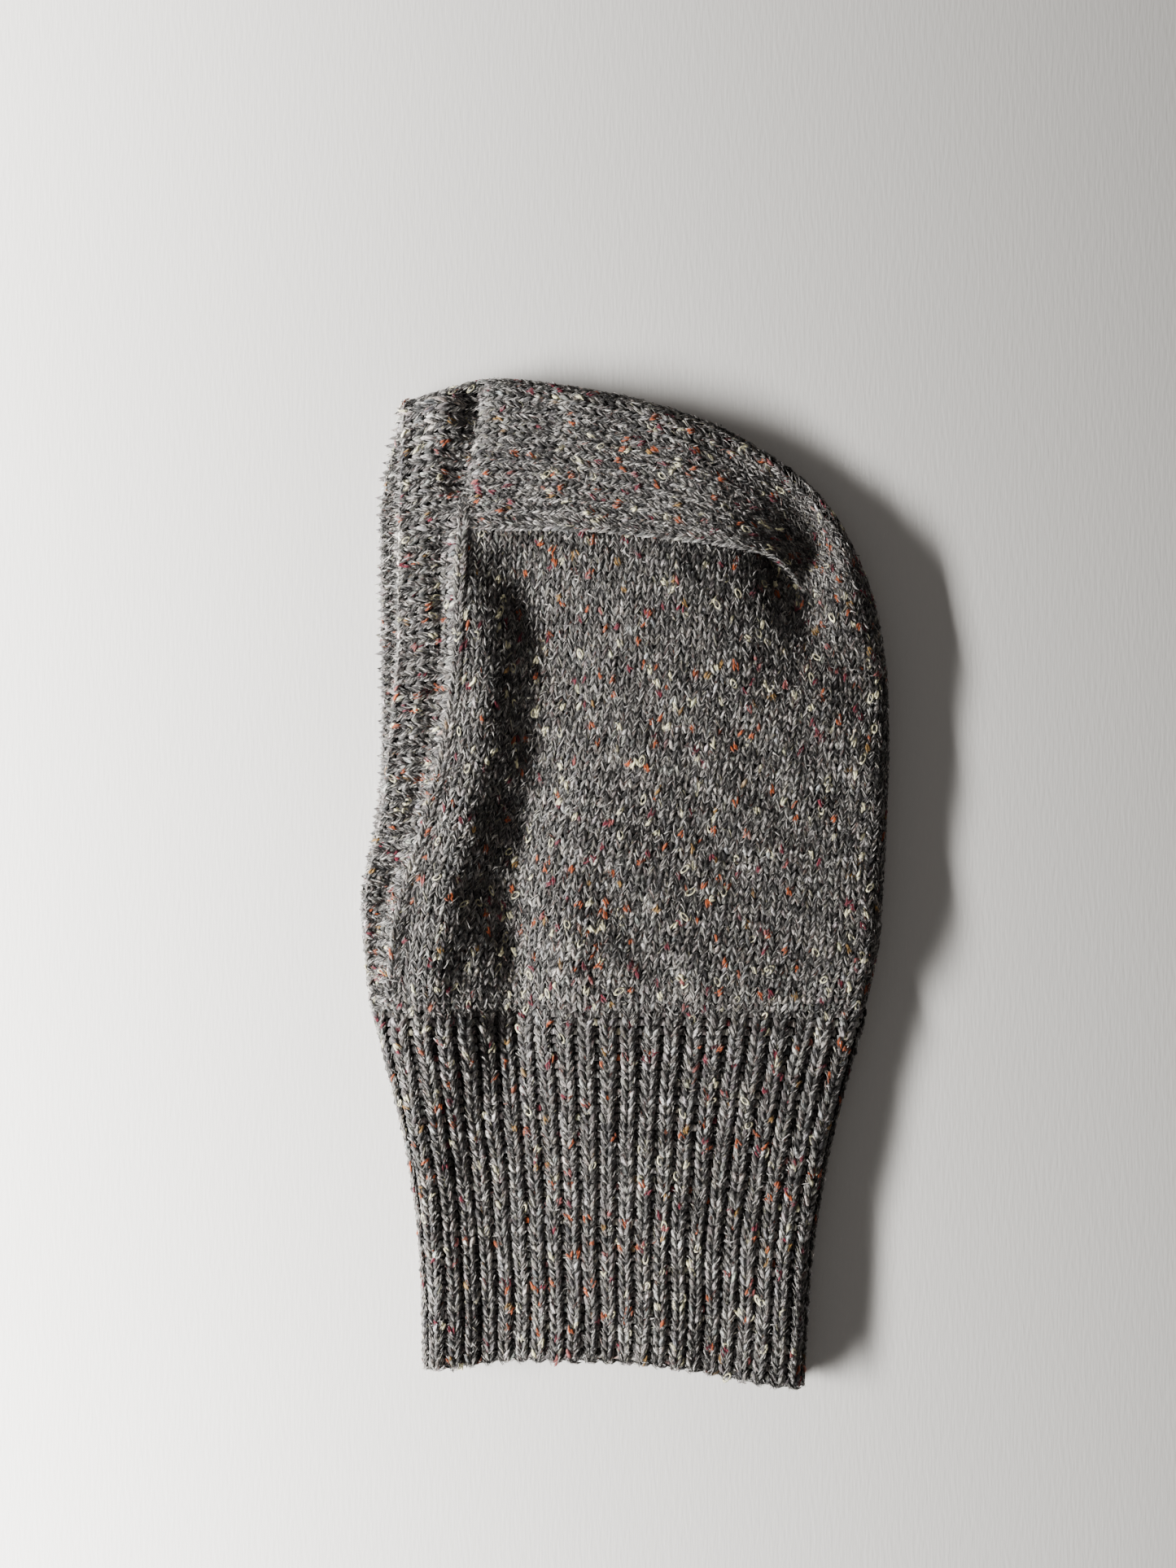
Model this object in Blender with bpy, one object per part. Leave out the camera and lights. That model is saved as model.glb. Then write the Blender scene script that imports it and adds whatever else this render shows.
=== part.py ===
"""A knitted hood with a ribbed neck, lying flat on its right side, as separate knitted pieces.

X runs from the face opening (-X) to the back of the head (+X), Y from the neck hem up to
the crown, and Z up from the surface that the hood lies on. Every length is in metres.

The hood is one fabric shell pressed flat, so each piece has a lower layer (the wearer's
right side), an upper layer (the wearer's left side), and folds where the two meet: along the
back and the crown, down the front and back of the neck, and under the chin. A piece is a
sheet laid over its patch of both layers and round its folds, and thickened to the fabric.
"""

from math import cos, pi, sin, sqrt

import bmesh
import bpy
from mathutils import Vector

# Driving dimensions
HOOD_DEPTH = 0.228           # face edge to back of head
HOOD_RISE = 0.273            # neck line to crown
NECK_LENGTH = 0.160          # neck line to the lowest point of the hem
HEM_WIDTH = 0.1635           # neck rib across the hem, lying flat
NECK_WAIST = 0.0065          # how far each side of the neck rib draws in half way down
HEM_SETBACK = 0.0025         # how far the middle of the hem sits in front of the neck line's
BAND_WIDTH = 0.0275          # face band, from its seam to its free edge
BAND_FLARE = 0.0050          # what the face band gains where it folds over the crown
CROWN_WIDTH = 0.0650         # crown panel, from the crown fold to its seam, at the face band
CROWN_REAR_WIDTH = 0.0330    # the same at the panel's rear end
CROWN_REAR_HEIGHT = 0.178    # the panel's rear end on the back of the head, above the neck line
FABRIC = 0.0040              # thickness of the knitted fabric
HOOD_LOFT = 0.0180           # height of the hood as it lies
NECK_LOFT = 0.0145           # height of the neck rib as it lies
FACE_LOFT = 0.0130           # height of the hood at the face edge
SEAM_WIDTH = 0.0028          # chain of stitches that shows along a seam
EDGE_WIDTH = 0.0024          # cast-on and cast-off edges
GAP = 0.0006                 # clearance between the rims of neighbouring pieces

# Outlines, as shares of HOOD_DEPTH (from the front) and of HOOD_RISE (from the neck line)
BACK_AND_CROWN = (
    (0.954, 0.0), (0.982, 0.117), (0.996, 0.311), (1.0, 0.44), (0.991, 0.568), (0.952, 0.696),
    (0.860, 0.824), (0.702, 0.916), (0.548, 0.963), (0.395, 0.989), (0.228, 1.0), (0.081, 0.965),
)
UPPER_FACE_EDGE = (
    (0.022, 0.0), (0.012, 0.07), (0.010, 0.183), (0.037, 0.311), (0.056, 0.44), (0.070, 0.568),
    (0.071, 0.70), (0.076, 0.824), (0.081, 0.965),
)
LOWER_FACE_EDGE = (
    (0.022, 0.0), (0.008, 0.07), (0.0, 0.183), (0.029, 0.311), (0.039, 0.44), (0.036, 0.696),
    (0.041, 0.824), (0.081, 0.965),
)
# The hem's wave: share of the way from front to back, and height over its lowest point
HEM_WAVE = ((0.0, 0.008), (0.25, 0.0115), (0.45, 0.0115), (0.65, 0.0095), (0.85, 0.003), (1.0, 0.0))

SEAM_FADE = 0.65             # share of the crown seam at which its chain begins to narrow
SEAM_END = 0.95              # share at which the chain ends
SEAM_TIP = 0.1               # width of the chain's end, over its full width
CHIN_SHARE = 0.32            # the face band's width at the chin, as a share of its full width
CHIN_END = 0.60              # share of the rise by which the band reaches its full width
FLARE_START = 0.80           # share of the rise at which the band begins to flare
FLARE_END = 0.95             # share at which it has flared
RUN_ON = 0.05                # share of the rise by which the face lines run on past the crown
CROWN_TAPER = 1.6            # how late the crown panel narrows towards its rear end
CROWN_SEAM_SHARES = (0.0, 0.25, 0.5, 0.75, 0.9, 1.0)    # where that seam's width is set
LOFT_BLEND = 0.050           # length over which the loft changes at the neck line
FACE_BLEND = 0.055           # the same, back from the face edge
FOLD_ROUNDNESS = 1.5         # depth of a fold's curve, over half its height
FOLD_STEPS = 5               # facets on each half of a fold
SPAN_STEPS = 12              # points on an outline between two of its own points
CUT_STEPS = 30               # halvings that find where a line is cut
NECK_ROWS, NECK_COLUMNS = 10, 10          # facets along each piece and across one of its layers
BODY_ROWS, BODY_COLUMNS = 12, 12
CROWN_ROWS, CROWN_COLUMNS = 16, 5
BAND_ROWS, BAND_COLUMNS = 4, 16
EDGE_COLUMNS = 12
CROWN_SEAM_COLUMNS = 16

YARN = (0.11, 0.11, 0.115)
SEAM_YARN = (0.09, 0.09, 0.095)
WOOL_ROUGHNESS = 0.95


# Flat outlines

def smooth_line(points):
    """A polyline along the smooth curve through the points."""
    ends = [points[0] * 2 - points[1]] + list(points) + [points[-1] * 2 - points[-2]]
    line = []
    for before, start, stop, after in zip(ends, ends[1:], ends[2:], ends[3:]):
        for step in range(SPAN_STEPS):
            t = step / SPAN_STEPS
            line.append(0.5 * (
                2 * start + (stop - before) * t
                + (2 * before - 5 * start + 4 * stop - after) * t ** 2
                + (3 * start - before - 3 * stop + after) * t ** 3
            ))
    line.append(points[-1].copy())
    return line


def length_of(line):
    """Length of a whole line."""
    return sum((b - a).length for a, b in zip(line, line[1:]))


def at(line, share):
    """The point at a share of the line's length."""
    lengths = [(b - a).length for a, b in zip(line, line[1:])]
    left = min(max(share, 0.0), 1.0) * sum(lengths)
    for a, b, length in zip(line, line[1:], lengths):
        if left <= length:
            return a.lerp(b, left / length if length else 0.0)
        left -= length
    return line[-1].copy()


def shifted(line, distance):
    """The line moved sideways, to the left of its own direction."""
    moved = []
    for index, point in enumerate(line):
        along = line[min(index + 1, len(line) - 1)] - line[max(index - 1, 0)]
        moved.append(point + Vector((-along.y, along.x)).normalized() * distance)
    return moved


def x_at(line, y):
    """Where a rising line crosses a height; its end tangents carry it past its ends."""
    for a, b in zip(line, line[1:]):
        if y <= b.y or b is line[-1]:
            return a.x + (b.x - a.x) * (y - a.y) / (b.y - a.y)
    return line[-1].x


def clipped(line, inside):
    """The stretch of a line whose points pass the test, cut at the test's borders."""
    kept = []
    for a, b in zip(line, line[1:]):
        if inside(a) and not kept:
            kept.append(a)
        if inside(a) != inside(b):
            low, high = (a, b) if inside(a) else (b, a)
            for _ in range(CUT_STEPS):
                middle = low.lerp(high, 0.5)
                low, high = (middle, high) if inside(middle) else (low, middle)
            kept.append(low)
        if inside(b):
            kept.append(b)
    return kept


def hood_line(shares):
    """The smooth line through points given as shares of the hood's depth and rise."""
    return smooth_line([Vector((x * HOOD_DEPTH, y * HOOD_RISE)) for x, y in shares])


def smooth_step(value):
    """Rise smoothly from 0 to 1 as the value does."""
    value = min(max(value, 0.0), 1.0)
    return value * value * (3 - 2 * value)


def band_width(y):
    """Width of the face band: narrow under the chin, flared over the crown."""
    share = y / HOOD_RISE
    chin = CHIN_SHARE + (1 - CHIN_SHARE) * sin(pi / 2 * min(max(share, 0.0) / CHIN_END, 1.0))
    return BAND_WIDTH * chin + BAND_FLARE * smooth_step((share - FLARE_START) / (FLARE_END - FLARE_START))


class Layer:
    """The outlines on one layer, which differ only at the face edge."""

    def __init__(self, face_edge):
        self.outline = hood_line(BACK_AND_CROWN)
        self.fold = shifted(self.outline, FABRIC / 2)
        self.edge = hood_line(face_edge)
        self.band_seam = [Vector((p.x + band_width(p.y), p.y)) for p in self.edge]
        self.band_seam.append(self.band_seam[-1] + Vector((0.0, HOOD_RISE * RUN_ON)))
        self.crown_seam = self.make_crown_seam()

    def make_crown_seam(self):
        """From the face band back to the panel's rear end, below the crown fold."""
        crown = clipped(self.outline, lambda p: p.y > CROWN_REAR_HEIGHT and p.x > self.seam_x(p.y))
        crown.reverse()
        points = []
        for share in CROWN_SEAM_SHARES:
            top = at(crown, share)
            along = at(crown, share + 0.02) - at(crown, share - 0.02)
            width = CROWN_WIDTH + (CROWN_REAR_WIDTH - CROWN_WIDTH) * share ** CROWN_TAPER
            points.append(top + Vector((along.y, -along.x)).normalized() * width)
        points[0].x = self.seam_x(points[0].y)
        return smooth_line(points)

    def seam_x(self, y):
        """Where the face band's seam crosses a height."""
        return x_at(self.band_seam, y)


UPPER = Layer(UPPER_FACE_EDGE)
LOWER = Layer(LOWER_FACE_EDGE)
SEAM_CLEAR = SEAM_WIDTH / 2 + GAP
EDGE_CLEAR = EDGE_WIDTH + GAP
CHIN = FABRIC / 2 + GAP / 2


def rise_at(point):
    """Height of the upper layer's middle over the lower layer's middle."""
    hood = smooth_step(point.y / LOFT_BLEND + 0.5)
    loft = NECK_LOFT + (HOOD_LOFT - NECK_LOFT) * hood
    behind_edge = point.x - x_at(UPPER.edge, min(max(point.y, 0.0), UPPER.edge[-1].y))
    face = (1 - smooth_step(behind_edge / FACE_BLEND)) * hood
    return loft + (FACE_LOFT - loft) * face - FABRIC


# Sheets over both layers

def patch(start, end, side_0, side_1):
    """A surface between four lines: start and end run across, the sides run from start to end."""
    corners = (at(start, 0), at(start, 1), at(end, 0), at(end, 1))

    def point(across, along):
        ruled = at(start, across).lerp(at(end, across), along)
        sides = at(side_0, along).lerp(at(side_1, along), across)
        low = corners[0].lerp(corners[1], across)
        high = corners[2].lerp(corners[3], across)
        return ruled + sides - low.lerp(high, along)

    return point


def strip(start, end):
    """A patch whose two short sides are straight."""
    return patch(start, end, [start[0], end[0]], [start[-1], end[-1]])


def shares_across(length, reach, start_fold, end_fold, steps, knee=0.0):
    """Places across a row, close together in its folds, with one of them at the knee."""
    first = reach / length if start_fold else 0.0
    last = 1 - reach / length if end_fold else 1.0
    bend = [1 - cos(pi / 2 * step / FOLD_STEPS) for step in range(FOLD_STEPS)]
    opening = [first * share for share in bend] if start_fold else []
    closing = [1 - (1 - last) * share for share in reversed(bend)] if end_fold else []
    before = round(steps * knee)
    after = steps - before
    flat = [first + (knee - first) * step / before for step in range(before)]
    start = knee if before else first
    flat += [start + (last - start) * step / after for step in range(after + 1)]
    return opening + flat + closing


def layer_row(surface, along, upper, start_fold, end_fold, steps, knee=0.0):
    """One row of a layer, curved up or down to half its rise at each fold."""
    first, last = surface(0, along), surface(1, along)
    fold = last if end_fold else first
    reach = rise_at(fold) / 2 * FOLD_ROUNDNESS
    row = []
    for share in shares_across((last - first).length, reach, start_fold, end_fold, steps, knee):
        point = surface(share, along)
        depth = 1.0
        if start_fold:
            depth = min(depth, (point - first).length / reach)
        if end_fold:
            depth = min(depth, (point - last).length / reach)
        swell = sqrt(max(0.0, 1 - (1 - depth) ** 2))
        half = rise_at(point) / 2
        row.append(Vector((point.x, point.y, FABRIC / 2 + half + (half if upper else -half) * swell)))
    return row


def sheet_rows(upper, lower, start_fold, end_fold, row_count, steps, knees=(0.0, 0.0)):
    """Rows that run over the upper layer, round the folds and back under the lower layer."""
    rows = []
    for index in range(row_count + 1):
        along = index / row_count
        over = layer_row(upper, along, True, start_fold, end_fold, steps, knees[0])
        under = layer_row(lower, along, False, start_fold, end_fold, steps, knees[1])
        under.reverse()
        rows.append(over + under[1:-1 if start_fold else None])
    return rows


def knitted_piece(name, rows, closed, color):
    """Turn rows of points into a sheet as thick as the fabric."""
    mesh = bpy.data.meshes.new(name)
    cloth = bmesh.new()
    grid = [[cloth.verts.new(point) for point in row] for row in rows]
    for low, high in zip(grid, grid[1:]):
        count = len(low)
        for index in range(count if closed else count - 1):
            following = (index + 1) % count
            cloth.faces.new((low[index], low[following], high[following], high[index]))
    cloth.to_mesh(mesh)
    cloth.free()
    mesh.shade_smooth()
    piece = bpy.data.objects.new(name, mesh)
    bpy.context.scene.collection.objects.link(piece)
    thicken = piece.modifiers.new("fabric", "SOLIDIFY")
    thicken.thickness = FABRIC
    thicken.offset = 0.0
    thicken.use_even_offset = True
    piece.data.materials.append(wool(name, color))
    return piece


def wool(name, color):
    """Matt wool of one colour."""
    material = bpy.data.materials.new(name + "_wool")
    material.use_nodes = True
    shader = material.node_tree.nodes["Principled BSDF"]
    shader.inputs["Base Color"].default_value = (*color, 1.0)
    shader.inputs["Roughness"].default_value = WOOL_ROUGHNESS
    shader.inputs["Metallic"].default_value = 0.0
    return material


# The neck

def neck_side(x_top, x_hem, drop, draw):
    """One side of the neck rib, from the hem up to the neck line."""
    steps = 2 * SPAN_STEPS
    side = []
    for step in range(steps + 1):
        down = 1 - step / steps
        side.append(Vector((x_top + (x_hem - x_top) * down + draw * sin(pi * down), -drop * down)))
    return side


def neck_outline():
    """Hem, neck line, front and back of the neck rib's middle surface."""
    inset = FABRIC / 2
    top_front = UPPER.edge[0].x + inset
    top_back = UPPER.outline[0].x - inset
    middle = (top_front + top_back) / 2 - HEM_SETBACK
    hem_front = middle - HEM_WIDTH / 2 + inset
    hem_back = middle + HEM_WIDTH / 2 - inset
    hem = smooth_line([
        Vector((hem_front + (hem_back - hem_front) * share, lift - NECK_LENGTH)) for share, lift in HEM_WAVE
    ])
    front = neck_side(top_front, hem_front, -hem[0].y, NECK_WAIST)
    back = neck_side(top_back, hem_back, -hem[-1].y, -NECK_WAIST)
    return hem, [front[-1], back[-1]], front, back


def rim_rise(side):
    """How far the fabric's outer corner stands above the top of a side that leans outwards."""
    lean = (side[-1] - side[-2]).normalized()
    return abs(lean.x) * FABRIC / 2


def make_neck():
    """The neck rib, whose top stays clear of the hood, and the cast-on edge under it."""
    hem, neck_line, front, back = neck_outline()
    whole = patch(hem, neck_line, front, back)
    rib_hem = [whole(step / SPAN_STEPS, 0) for step in range(SPAN_STEPS + 1)]
    rib_hem = [point + Vector((0.0, EDGE_CLEAR)) for point in rib_hem]
    rib_top = [
        point - Vector((0.0, GAP / 2 + rim_rise(side))) for point, side in zip(neck_line, (front, back))
    ]
    front = clipped(front, lambda p: rib_hem[0].y <= p.y <= rib_top[0].y)
    back = clipped(back, lambda p: rib_hem[-1].y <= p.y <= rib_top[-1].y)
    rib = patch([front[0]] + rib_hem[1:-1] + [back[0]], [front[-1], back[-1]], front, back)
    knitted_piece("neck_rib", sheet_rows(rib, rib, True, True, NECK_ROWS, NECK_COLUMNS), True, YARN)

    edge_top = [point + Vector((0.0, EDGE_WIDTH)) for point in hem]
    edge = strip(hem, edge_top)
    rows = sheet_rows(edge, edge, True, True, 1, EDGE_COLUMNS)
    knitted_piece("neck_cast_on_edge", rows, True, SEAM_YARN)


# The hood

def beside_crown_seam(layer, side):
    """The rim of a panel along the crown seam, which narrows to a point at its rear end."""
    seam = layer.crown_seam
    whole = shifted(seam, side * SEAM_CLEAR)
    rim = []
    for index, (middle, full) in enumerate(zip(seam, whole)):
        share = index / (len(seam) - 1)
        rim.append(middle.lerp(full, seam_fullness(share) + GAP / SEAM_CLEAR))
    return rim


def seam_fullness(share):
    """Width of the crown seam's chain along its length, over its full width."""
    return (1 - GAP / SEAM_CLEAR) * (1 - smooth_step((share - SEAM_FADE) / (1 - SEAM_FADE)))


def body_surface(layer):
    """Between the neck line, the face band's seam, the crown seam and the back fold.

    Its top line runs along the crown seam and from its end, the knee, straight to the fold.
    """
    top = beside_crown_seam(layer, -1)
    left = shifted(layer.band_seam, -SEAM_CLEAR)
    top = clipped(top, lambda p: p.x > x_at(left, p.y))
    left = clipped(left, lambda p: GAP / 2 < p.y < top[0].y)
    rear = clipped(layer.fold, lambda p: GAP / 2 < p.y < CROWN_REAR_HEIGHT - GAP)
    left[-1] = top[0]
    knee = length_of(top) / (length_of(top) + (rear[-1] - top[-1]).length)
    return patch([left[0], rear[0]], top + [rear[-1]], left, rear), knee


def crown_surface(layer):
    """Between the crown seam and the crown fold, from the face band to the rear end."""
    low = beside_crown_seam(layer, 1)
    front = shifted(layer.band_seam, -SEAM_CLEAR)
    low = clipped(low, lambda p: p.x > x_at(front, p.y))
    fold = clipped(layer.fold, lambda p: p.y > CROWN_REAR_HEIGHT + GAP and p.x > x_at(front, p.y))
    fold.reverse()
    front = clipped(front, lambda p: low[0].y < p.y < fold[0].y)
    front[0], front[-1] = low[0], fold[0]
    return patch(front, [low[-1], fold[-1]], low, fold)


def crown_seam_surface(layer):
    """The seam's own chain, which fades out before the panel's rear end."""
    line = clipped(layer.crown_seam, lambda p: p.x > layer.seam_x(p.y) + SEAM_CLEAR)
    count = round(len(line) * SEAM_END)
    line = line[:count]
    full = shifted(line, SEAM_WIDTH / 2)
    low, high = [], []
    for index, (middle, edge) in enumerate(zip(line, full)):
        reach = (edge - middle) * max(seam_fullness(index / (len(line) - 1) * SEAM_END), SEAM_TIP)
        low.append(middle - reach)
        high.append(middle + reach)
    return strip(low, high)


def ring_line(layer, line):
    """A line of the face band, from the chin fold to the crown fold."""
    def below_fold(point):
        crown = layer.fold[len(layer.fold) // 2:]
        nearest = min(crown, key=lambda p: abs(p.x - point.x))
        return CHIN < point.y < nearest.y
    return clipped(line, below_fold)


def band_surfaces(layer):
    """The face band, its seam and its cast-off edge, each from the chin to the crown."""
    seam_inner = shifted(layer.band_seam, -SEAM_WIDTH / 2)
    seam_outer = shifted(layer.band_seam, SEAM_WIDTH / 2)
    band_inner = shifted(layer.band_seam, SEAM_CLEAR)
    long_edge = layer.edge + [layer.edge[-1] + Vector((0.0, HOOD_RISE * RUN_ON))]
    band_outer = shifted(long_edge, -EDGE_CLEAR)
    cast_off_inner = shifted(long_edge, -EDGE_WIDTH)
    return {
        "face_band": strip(ring_line(layer, band_inner), ring_line(layer, band_outer)),
        "face_band_seam": strip(ring_line(layer, seam_inner), ring_line(layer, seam_outer)),
        "face_band_cast_off_edge": strip(ring_line(layer, cast_off_inner), ring_line(layer, long_edge)),
    }


def make_hood():
    """The body and the crown panel, each in one piece over both layers."""
    left_side, left_knee = body_surface(UPPER)
    right_side, right_knee = body_surface(LOWER)
    body = sheet_rows(left_side, right_side, False, True, BODY_ROWS, BODY_COLUMNS, (left_knee, right_knee))
    knitted_piece("hood_body", body, False, YARN)
    sides = (crown_surface(UPPER), crown_surface(LOWER))
    crown = sheet_rows(*sides, False, True, CROWN_ROWS, CROWN_COLUMNS)
    knitted_piece("crown_panel", crown, False, YARN)


def make_seams():
    """The crown seam on each side of the head."""
    for name, layer, is_upper in (("left_crown_seam", UPPER, True), ("right_crown_seam", LOWER, False)):
        surface = crown_seam_surface(layer)
        rows = [layer_row(surface, along, is_upper, False, False, CROWN_SEAM_COLUMNS) for along in (0, 1)]
        knitted_piece(name, rows, False, SEAM_YARN)


def make_face_band():
    """The band, its seam and its cast-off edge, each a ring round the face opening."""
    upper = band_surfaces(UPPER)
    lower = band_surfaces(LOWER)
    for name, row_count, color in (
        ("face_band", BAND_ROWS, YARN),
        ("face_band_seam", 1, SEAM_YARN),
        ("face_band_cast_off_edge", 1, SEAM_YARN),
    ):
        rows = sheet_rows(upper[name], lower[name], True, True, row_count, BAND_COLUMNS)
        knitted_piece(name, rows, True, color)


def stand_on_origin():
    """Hang every piece from one empty, placed so that the origin is under the hood's middle."""
    bpy.context.view_layer.update()
    graph = bpy.context.evaluated_depsgraph_get()
    pieces = list(bpy.context.scene.objects)
    points = [point.co for piece in pieces for point in piece.evaluated_get(graph).data.vertices]
    low = [min(point[axis] for point in points) for axis in range(3)]
    high = [max(point[axis] for point in points) for axis in range(3)]
    hood = bpy.data.objects.new("hood", None)
    bpy.context.scene.collection.objects.link(hood)
    hood.location = (-(low[0] + high[0]) / 2, -(low[1] + high[1]) / 2, -low[2])
    for piece in pieces:
        piece.parent = hood


def main():
    """Build the hood in an empty scene."""
    for old in list(bpy.data.objects):
        bpy.data.objects.remove(old)
    make_neck()
    make_hood()
    make_seams()
    make_face_band()
    stand_on_origin()


main()
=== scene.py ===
import bpy
import numpy as np
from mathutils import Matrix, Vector


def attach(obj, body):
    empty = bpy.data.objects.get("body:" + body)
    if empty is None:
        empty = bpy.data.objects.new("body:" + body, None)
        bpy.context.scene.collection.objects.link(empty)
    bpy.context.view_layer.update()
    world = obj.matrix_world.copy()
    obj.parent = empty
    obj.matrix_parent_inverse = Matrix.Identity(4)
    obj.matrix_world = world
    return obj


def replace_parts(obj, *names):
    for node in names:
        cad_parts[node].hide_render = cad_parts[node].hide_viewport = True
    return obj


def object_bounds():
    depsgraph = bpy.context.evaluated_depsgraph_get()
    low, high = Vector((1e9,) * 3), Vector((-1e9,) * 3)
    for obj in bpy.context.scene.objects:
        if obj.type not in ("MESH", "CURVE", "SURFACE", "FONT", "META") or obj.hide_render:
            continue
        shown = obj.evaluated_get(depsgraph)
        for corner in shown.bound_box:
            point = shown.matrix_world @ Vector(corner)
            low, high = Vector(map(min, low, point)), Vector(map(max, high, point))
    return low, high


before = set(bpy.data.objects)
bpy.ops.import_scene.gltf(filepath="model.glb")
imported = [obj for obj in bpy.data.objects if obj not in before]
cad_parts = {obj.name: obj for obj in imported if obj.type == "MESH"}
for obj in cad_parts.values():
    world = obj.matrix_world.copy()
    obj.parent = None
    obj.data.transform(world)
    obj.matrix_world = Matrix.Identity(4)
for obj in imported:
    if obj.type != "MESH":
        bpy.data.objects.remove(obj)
CAD_LOW, CAD_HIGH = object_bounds()

bl_info = {
    "name": "Knitted hood",
    "version": (1, 0, 0),
    "blender": (4, 5, 0),
    "location": "3D View > Sidebar > Hood",
    "description": "Knits a hood with a ribbed neck stitch by stitch, as it lies flat",
    "category": "Add Mesh",
}

# Thickness of the yarn behind the stitches
BACKING_THICKNESS = 0.0022
# Cloth that hangs lower than this is pressed flat
PRESSED_HEIGHT = 0.0012
# Room between the outline and the fold in it, for the stitches laid on the fold
FOLD_ROOM = 0.0008
# How far a fold's roundness reaches in, over half the height there
FOLD_REACH = 1.05
# How far the rear end of the crown seam turns up
TIP_RISE = 0.012

# Outlines, as shares of the hood's depth (from the front) and of its rise (from the neck line)
BACK_AND_CROWN = (
    (0.954, 0.0), (0.982, 0.117), (0.996, 0.311), (1.0, 0.44), (0.991, 0.568), (0.952, 0.696),
    (0.860, 0.824), (0.702, 0.916), (0.548, 0.963), (0.395, 0.989), (0.228, 1.0), (0.081, 0.965),
)
UPPER_FACE_EDGE = (
    (0.022, 0.0), (0.012, 0.07), (0.010, 0.183), (0.037, 0.311), (0.056, 0.44), (0.070, 0.568),
    (0.071, 0.70), (0.076, 0.824), (0.081, 0.965),
)
LOWER_FACE_EDGE = (
    (0.022, 0.0), (0.008, 0.07), (0.0, 0.183), (0.029, 0.311), (0.039, 0.44), (0.036, 0.696),
    (0.041, 0.824), (0.081, 0.965),
)
# The hem's wave: share of the way from front to back, and height over its lowest point
HEM_WAVE = ((0.0, 0.008), (0.25, 0.0115), (0.45, 0.0115), (0.65, 0.0095), (0.85, 0.003), (1.0, 0.0))


# Settings

def length(name, description, default):
    return bpy.props.FloatProperty(
        name=name, description=description, default=default, unit="LENGTH", precision=4
    )


def hex_colour(code):
    """An sRGB hex code as a linear colour with full alpha."""
    parts = [int(code[start:start + 2], 16) / 255 for start in (1, 3, 5)]
    return tuple(c / 12.92 if c <= 0.04045 else ((c + 0.055) / 1.055) ** 2.4 for c in parts) + (1.0,)


def colour(name, description, code):
    return bpy.props.FloatVectorProperty(
        name=name, description=description, subtype="COLOR", size=4, min=0, max=1, default=hex_colour(code)
    )


class HoodShape(bpy.types.PropertyGroup):
    rise: length("Rise", "Neck line to crown", 0.273)
    fabric: length("Fabric", "Thickness of the knitted fabric", 0.004)
    hood_loft: length("Hood loft", "Height of the hood as it lies", 0.018)
    neck_loft: length("Neck loft", "Height of the neck rib as it lies", 0.0165)
    face_loft: length("Face loft", "Height at the face edge", 0.015)
    band_width: length("Band width", "Face band, from its seam to its free edge", 0.0275)
    band_flare: length("Band flare", "What the band gains over the crown", 0.005)
    crown_width: length("Crown width", "Crown fold to crown seam, at the face band", 0.065)
    crown_rear_width: length("Crown rear width", "The same at the panel's rear end", 0.033)
    crown_rear_height: length("Crown rear height", "Panel's rear end, above the neck line", 0.178)
    hem_width: length("Hem width", "Neck rib across the hem", 0.1635)
    hem_setback: length("Hem setback", "How far the hem sits forward", 0.0025)
    neck_waist: length("Neck waist", "How far each side of the neck draws in", 0.0065)


class YarnGauge(bpy.types.PropertyGroup):
    wale: length("Wale", "Width of one stocking stitch", 0.0046)
    course: length("Course", "Height of one stocking stitch", 0.0036)
    rib_repeat: length("Rib repeat", "One knit and one purl stitch of the neck rib", 0.0080)
    rib_course: length("Rib course", "Height of one stitch in the rib", 0.0038)
    band_repeat: length("Band repeat", "One knit and one purl stitch of the face band", 0.0077)
    chain: length("Chain", "Length of one stitch in a seam chain", 0.0040)


class YarnColours(bpy.types.PropertyGroup):
    charcoal: colour("Charcoal", "Dark strand of the marl", "#222021")
    grey: colour("Grey", "Middle strand of the marl", "#575452")
    silver: colour("Silver", "Light strand of the marl", "#afaba7")
    # Painted shade: the backing's near-black colour stands in for the shade in the gaps between the stitches;
    # the fuzz's dark fibres take the same colour
    shadow: colour("Backing", "Yarn behind the stitches", "#141312")
    orange: colour("Orange fleck", "Rust orange nep", "#9f4718")
    wine: colour("Wine fleck", "Burgundy nep", "#661528")
    cream: colour("Cream fleck", "Cream nep", "#f4edc4")
    straw: colour("Straw fleck", "Straw nep", "#8d6a34")
    pink: colour("Pink fleck", "Dusty pink nep", "#8f4a48")
    canvas: colour("Canvas", "Pale cloth that the hood lies on", "#eae8e5")


def shape():
    return bpy.context.scene.hood_shape


def gauge():
    return bpy.context.scene.hood_gauge


def yarn():
    return bpy.context.scene.hood_yarn


# Flat outlines

def smooth_line(points, steps=32):
    """A dense line along the smooth curve through the points."""
    points = np.asarray(points, float)
    points = np.vstack([2 * points[0] - points[1], points, 2 * points[-1] - points[-2]])
    t = np.linspace(0, 1, steps, endpoint=False)[:, None]
    spans = [
        0.5 * (2 * b + (c - a) * t + (2 * a - 5 * b + 4 * c - d) * t ** 2 + (3 * b - a - 3 * c + d) * t ** 3)
        for a, b, c, d in zip(points, points[1:], points[2:], points[3:])
    ]
    return np.vstack(spans + [points[-2:-1]])


def run(line):
    """Length along the line up to each of its points."""
    return np.concatenate([[0.0], np.cumsum(np.linalg.norm(np.diff(line, axis=0), axis=1))])


def at(line, shares):
    """Points at shares of the line's length."""
    along = run(line)
    wanted = np.clip(shares, 0, 1) * along[-1]
    return np.stack([np.interp(wanted, along, line[:, axis]) for axis in range(line.shape[1])], -1)


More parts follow.
